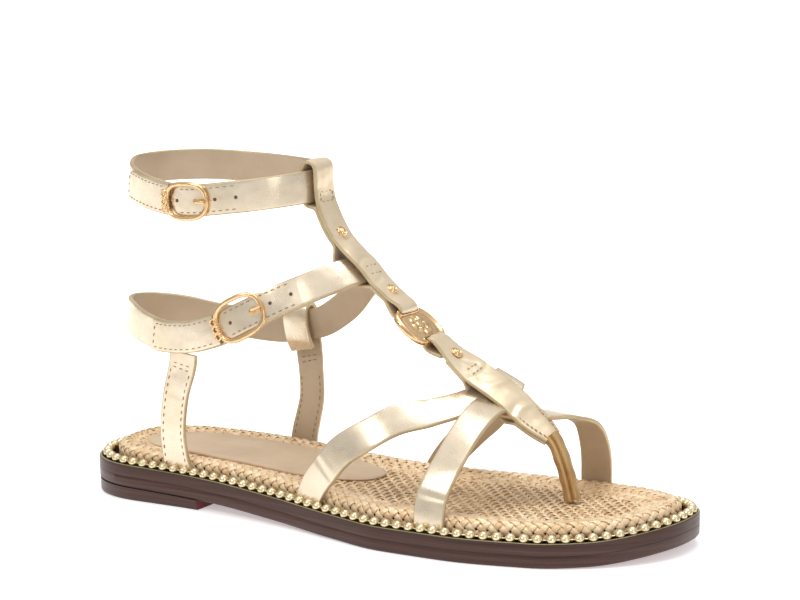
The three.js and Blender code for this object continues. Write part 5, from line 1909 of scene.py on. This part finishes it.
# ------------------------------------------------------------------ studio
@dataclass
class Studio:
    """Pale floor, soft lights and the camera."""

    target: tuple[float, float, float] = (0.0, 5.25, 60.0)
    azimuth: float = 29.64
    elevation: float = 9.31
    distance: float = 909.6
    slide: tuple[float, float] = (6.5, 24.02)
    roll: float = -0.37
    lens: float = 105.56

    def camera(self) -> None:
        """Places the camera at the angle that the shoe is looked at from."""
        az, el, roll = (math.radians(v) for v in (self.azimuth, self.elevation, self.roll))
        back = Vector((math.sin(az) * math.cos(el), -math.cos(az) * math.cos(el), math.sin(el)))
        right = (-back).cross(Vector((0, 0, 1))).normalized()
        up = right.cross(-back)
        place = Vector(self.target) + back * self.distance + right * self.slide[0] + up * self.slide[1]
        right, up = right * math.cos(roll) + up * math.sin(roll), up * math.cos(roll) - right * math.sin(roll)
        data = bpy.data.cameras.new("camera")
        data.lens = self.lens
        data.sensor_width = 36
        data.clip_start, data.clip_end = 0.05, 50
        camera = bpy.data.objects.new("camera", data)
        bpy.context.scene.collection.objects.link(camera)
        turn = Matrix((right, up, back)).transposed()
        camera.matrix_world = Matrix.Translation(place * MM) @ turn.to_4x4()
        bpy.context.scene.camera = camera

    def light(self, name: str, place: tuple[float, float, float], size: tuple[float, float], power: float,
              color: tuple[float, float, float] = (1, 1, 1),
              aim: tuple[float, float, float] = (0, 0, 0.05)) -> None:
        """A soft rectangular light.

        Args:
            name: Its name.
            place: Where it stands, in metres.
            size: Its width and height.
            power: Watts.
            color: Its colour.
            aim: The point that it faces.
        """
        data = bpy.data.lights.new(name, "AREA")
        data.shape = "RECTANGLE"
        data.size, data.size_y = size
        data.energy = power
        data.color = color
        lamp = bpy.data.objects.new(name, data)
        bpy.context.scene.collection.objects.link(lamp)
        away = Vector(place) - Vector(aim)
        turn = away.to_track_quat("Z", "Y").to_matrix()
        lamp.matrix_world = Matrix.Translation(Vector(place)) @ turn.to_4x4()

    def floor(self) -> None:
        """A pale floor that runs to the horizon."""
        mesh = bpy.data.meshes.new("floor")
        mesh.from_pydata([(-12, -12, 0), (12, -12, 0), (12, 12, 0), (-12, 12, 0)], [], [(0, 1, 2, 3)])
        n = Nodes("floor_white")
        n.set(Base_Color=(0.93, 0.93, 0.93, 1), Roughness=0.9, Specular_IOR_Level=0.1,
              Emission_Color=(1, 1, 1, 1))
        az = math.radians(self.azimuth)
        behind = n.tree.nodes.new("ShaderNodeVectorMath")
        behind.operation = "DOT_PRODUCT"
        n.link(n.coord.outputs["Object"], behind.inputs[0])
        behind.inputs[1].default_value = (-math.sin(az), math.cos(az), 0)
        reach = behind.outputs["Value"]
        glow = n.tree.nodes.new("ShaderNodeMath")
        glow.operation = "ADD"
        n.link(n.ramp(reach, -0.5, -0.15, 0, 0.42), glow.inputs[0])
        n.link(n.ramp(reach, 0.1, 0.8, 0, 0.6), glow.inputs[1])
        n.link(glow.outputs[0], n.shader.inputs["Emission Strength"])
        mesh.materials.append(n.finish())
        floor = bpy.data.objects.new("floor", mesh)
        bpy.context.scene.collection.objects.link(floor)

    def world(self) -> None:
        """Surroundings for the foil: a white sheet behind the shoe, grey elsewhere, lighter above."""
        world = bpy.data.worlds.new("studio")
        world.use_nodes = True
        tree = world.node_tree
        background = tree.nodes["Background"]
        coord = tree.nodes.new("ShaderNodeTexCoord")
        split = tree.nodes.new("ShaderNodeSeparateXYZ")
        tree.links.new(coord.outputs["Generated"], split.inputs[0])
        ramp = tree.nodes.new("ShaderNodeValToRGB")
        tree.links.new(split.outputs["Z"], ramp.inputs["Fac"])
        stops = ((0.0, 0.62), (0.16, 0.5), (0.4, 0.55), (0.62, 0.75), (1.0, 0.9))
        elements = ramp.color_ramp.elements
        while len(elements) < len(stops):
            elements.new(0.5)
        for element, (place, value) in zip(elements, stops):
            element.position = place
            element.color = (value, value, value, 1)
        facing = tree.nodes.new("ShaderNodeVectorMath")
        facing.operation = "DOT_PRODUCT"
        tree.links.new(coord.outputs["Generated"], facing.inputs[0])
        az = math.radians(self.azimuth)
        facing.inputs[1].default_value = (-math.sin(az), math.cos(az), 0)
        sheet = tree.nodes.new("ShaderNodeMapRange")
        tree.links.new(facing.outputs["Value"], sheet.inputs["Value"])
        sheet.inputs["From Min"].default_value, sheet.inputs["From Max"].default_value = 0.9, 0.96
        mix = tree.nodes.new("ShaderNodeMix")
        mix.data_type = "RGBA"
        tree.links.new(sheet.outputs["Result"], mix.inputs[0])
        tree.links.new(ramp.outputs["Color"], mix.inputs[6])
        mix.inputs[7].default_value = (1.05, 1.05, 1.05, 1)
        tree.links.new(mix.outputs[2], background.inputs["Color"])
        background.inputs["Strength"].default_value = 1.0
        bpy.context.scene.world = world

    def build(self) -> None:
        """Sets up everything round the shoe."""
        self.floor()
        self.world()
        self.light("key", (-0.5, -1.2, 1.3), (0.6, 0.5), 6, (1, 0.985, 0.96))
        self.light("fill", (1.5, -0.9, 0.7), (0.4, 0.9), 3.5)
        self.light("top", (0.0, 0.3, 1.8), (1.2, 0.7), 11)
        self.camera()
        scene = bpy.context.scene
        scene.view_settings.view_transform = "Standard"


def build_sandal() -> None:
    """Makes every sub-assembly of the sandal."""
    palette = Palette()
    stitching = Stitching(palette)
    SoleUnit(palette).build()
    Footbed(palette).build()
    BeadChain(palette).build()
    VampStraps(palette).build()
    instep = InstepStraps(palette, stitching)
    instep.build()
    AnkleStrap("ankle_strap_low", "upper_low_ankle_strap", "upper_low_chape", LOW_LOOP, (284, 322),
               (247, 283), (289, 306, 315), palette, stitching).build()
    AnkleStrap("ankle_strap_top", "upper_top_ankle_strap", "upper_top_chape", TOP_LOOP, (264, 311),
               (221, 262), (268, 291, 302.5), palette, stitching, chape_round=True).build()
    Quarters(palette, stitching).build()
    Buckle("low", LOW_LOOP, 292.8, 22.6, 17.6, palette).build("low_buckle_frame", "low_buckle_prong")
    Buckle("top", TOP_LOOP, 274.2, 20.6, 15.4, palette).build("top_buckle_frame", "top_buckle_prong")
    Medallion(palette).build()
    upper, lower = profile_run(InstepStraps.UPPER, 0.5), profile_run(InstepStraps.LOWER, 0.5)
    studs = ((upper, InstepStraps.UPPER, 8.25), (upper, InstepStraps.UPPER, 11.7),
             (lower, InstepStraps.LOWER, 7.95))
    for number, (run, rows, row) in enumerate(studs, 1):
        x, z, _ = catmull(np.array(rows, float), np.array([row / (len(rows) - 1)]))[0]
        point, along, out = run.at(np.array([instep.along(run, x, z)]), 0, 1.1)
        Stud(f"stud_{number}_head", palette).build(point[0], along[0], out[0], f"stud_{number}")
    stitching.build()


def main() -> None:
    """Builds the sandal and its studio."""
    build_sandal()
    Studio().build()


if __name__ == "__main__":
    main()
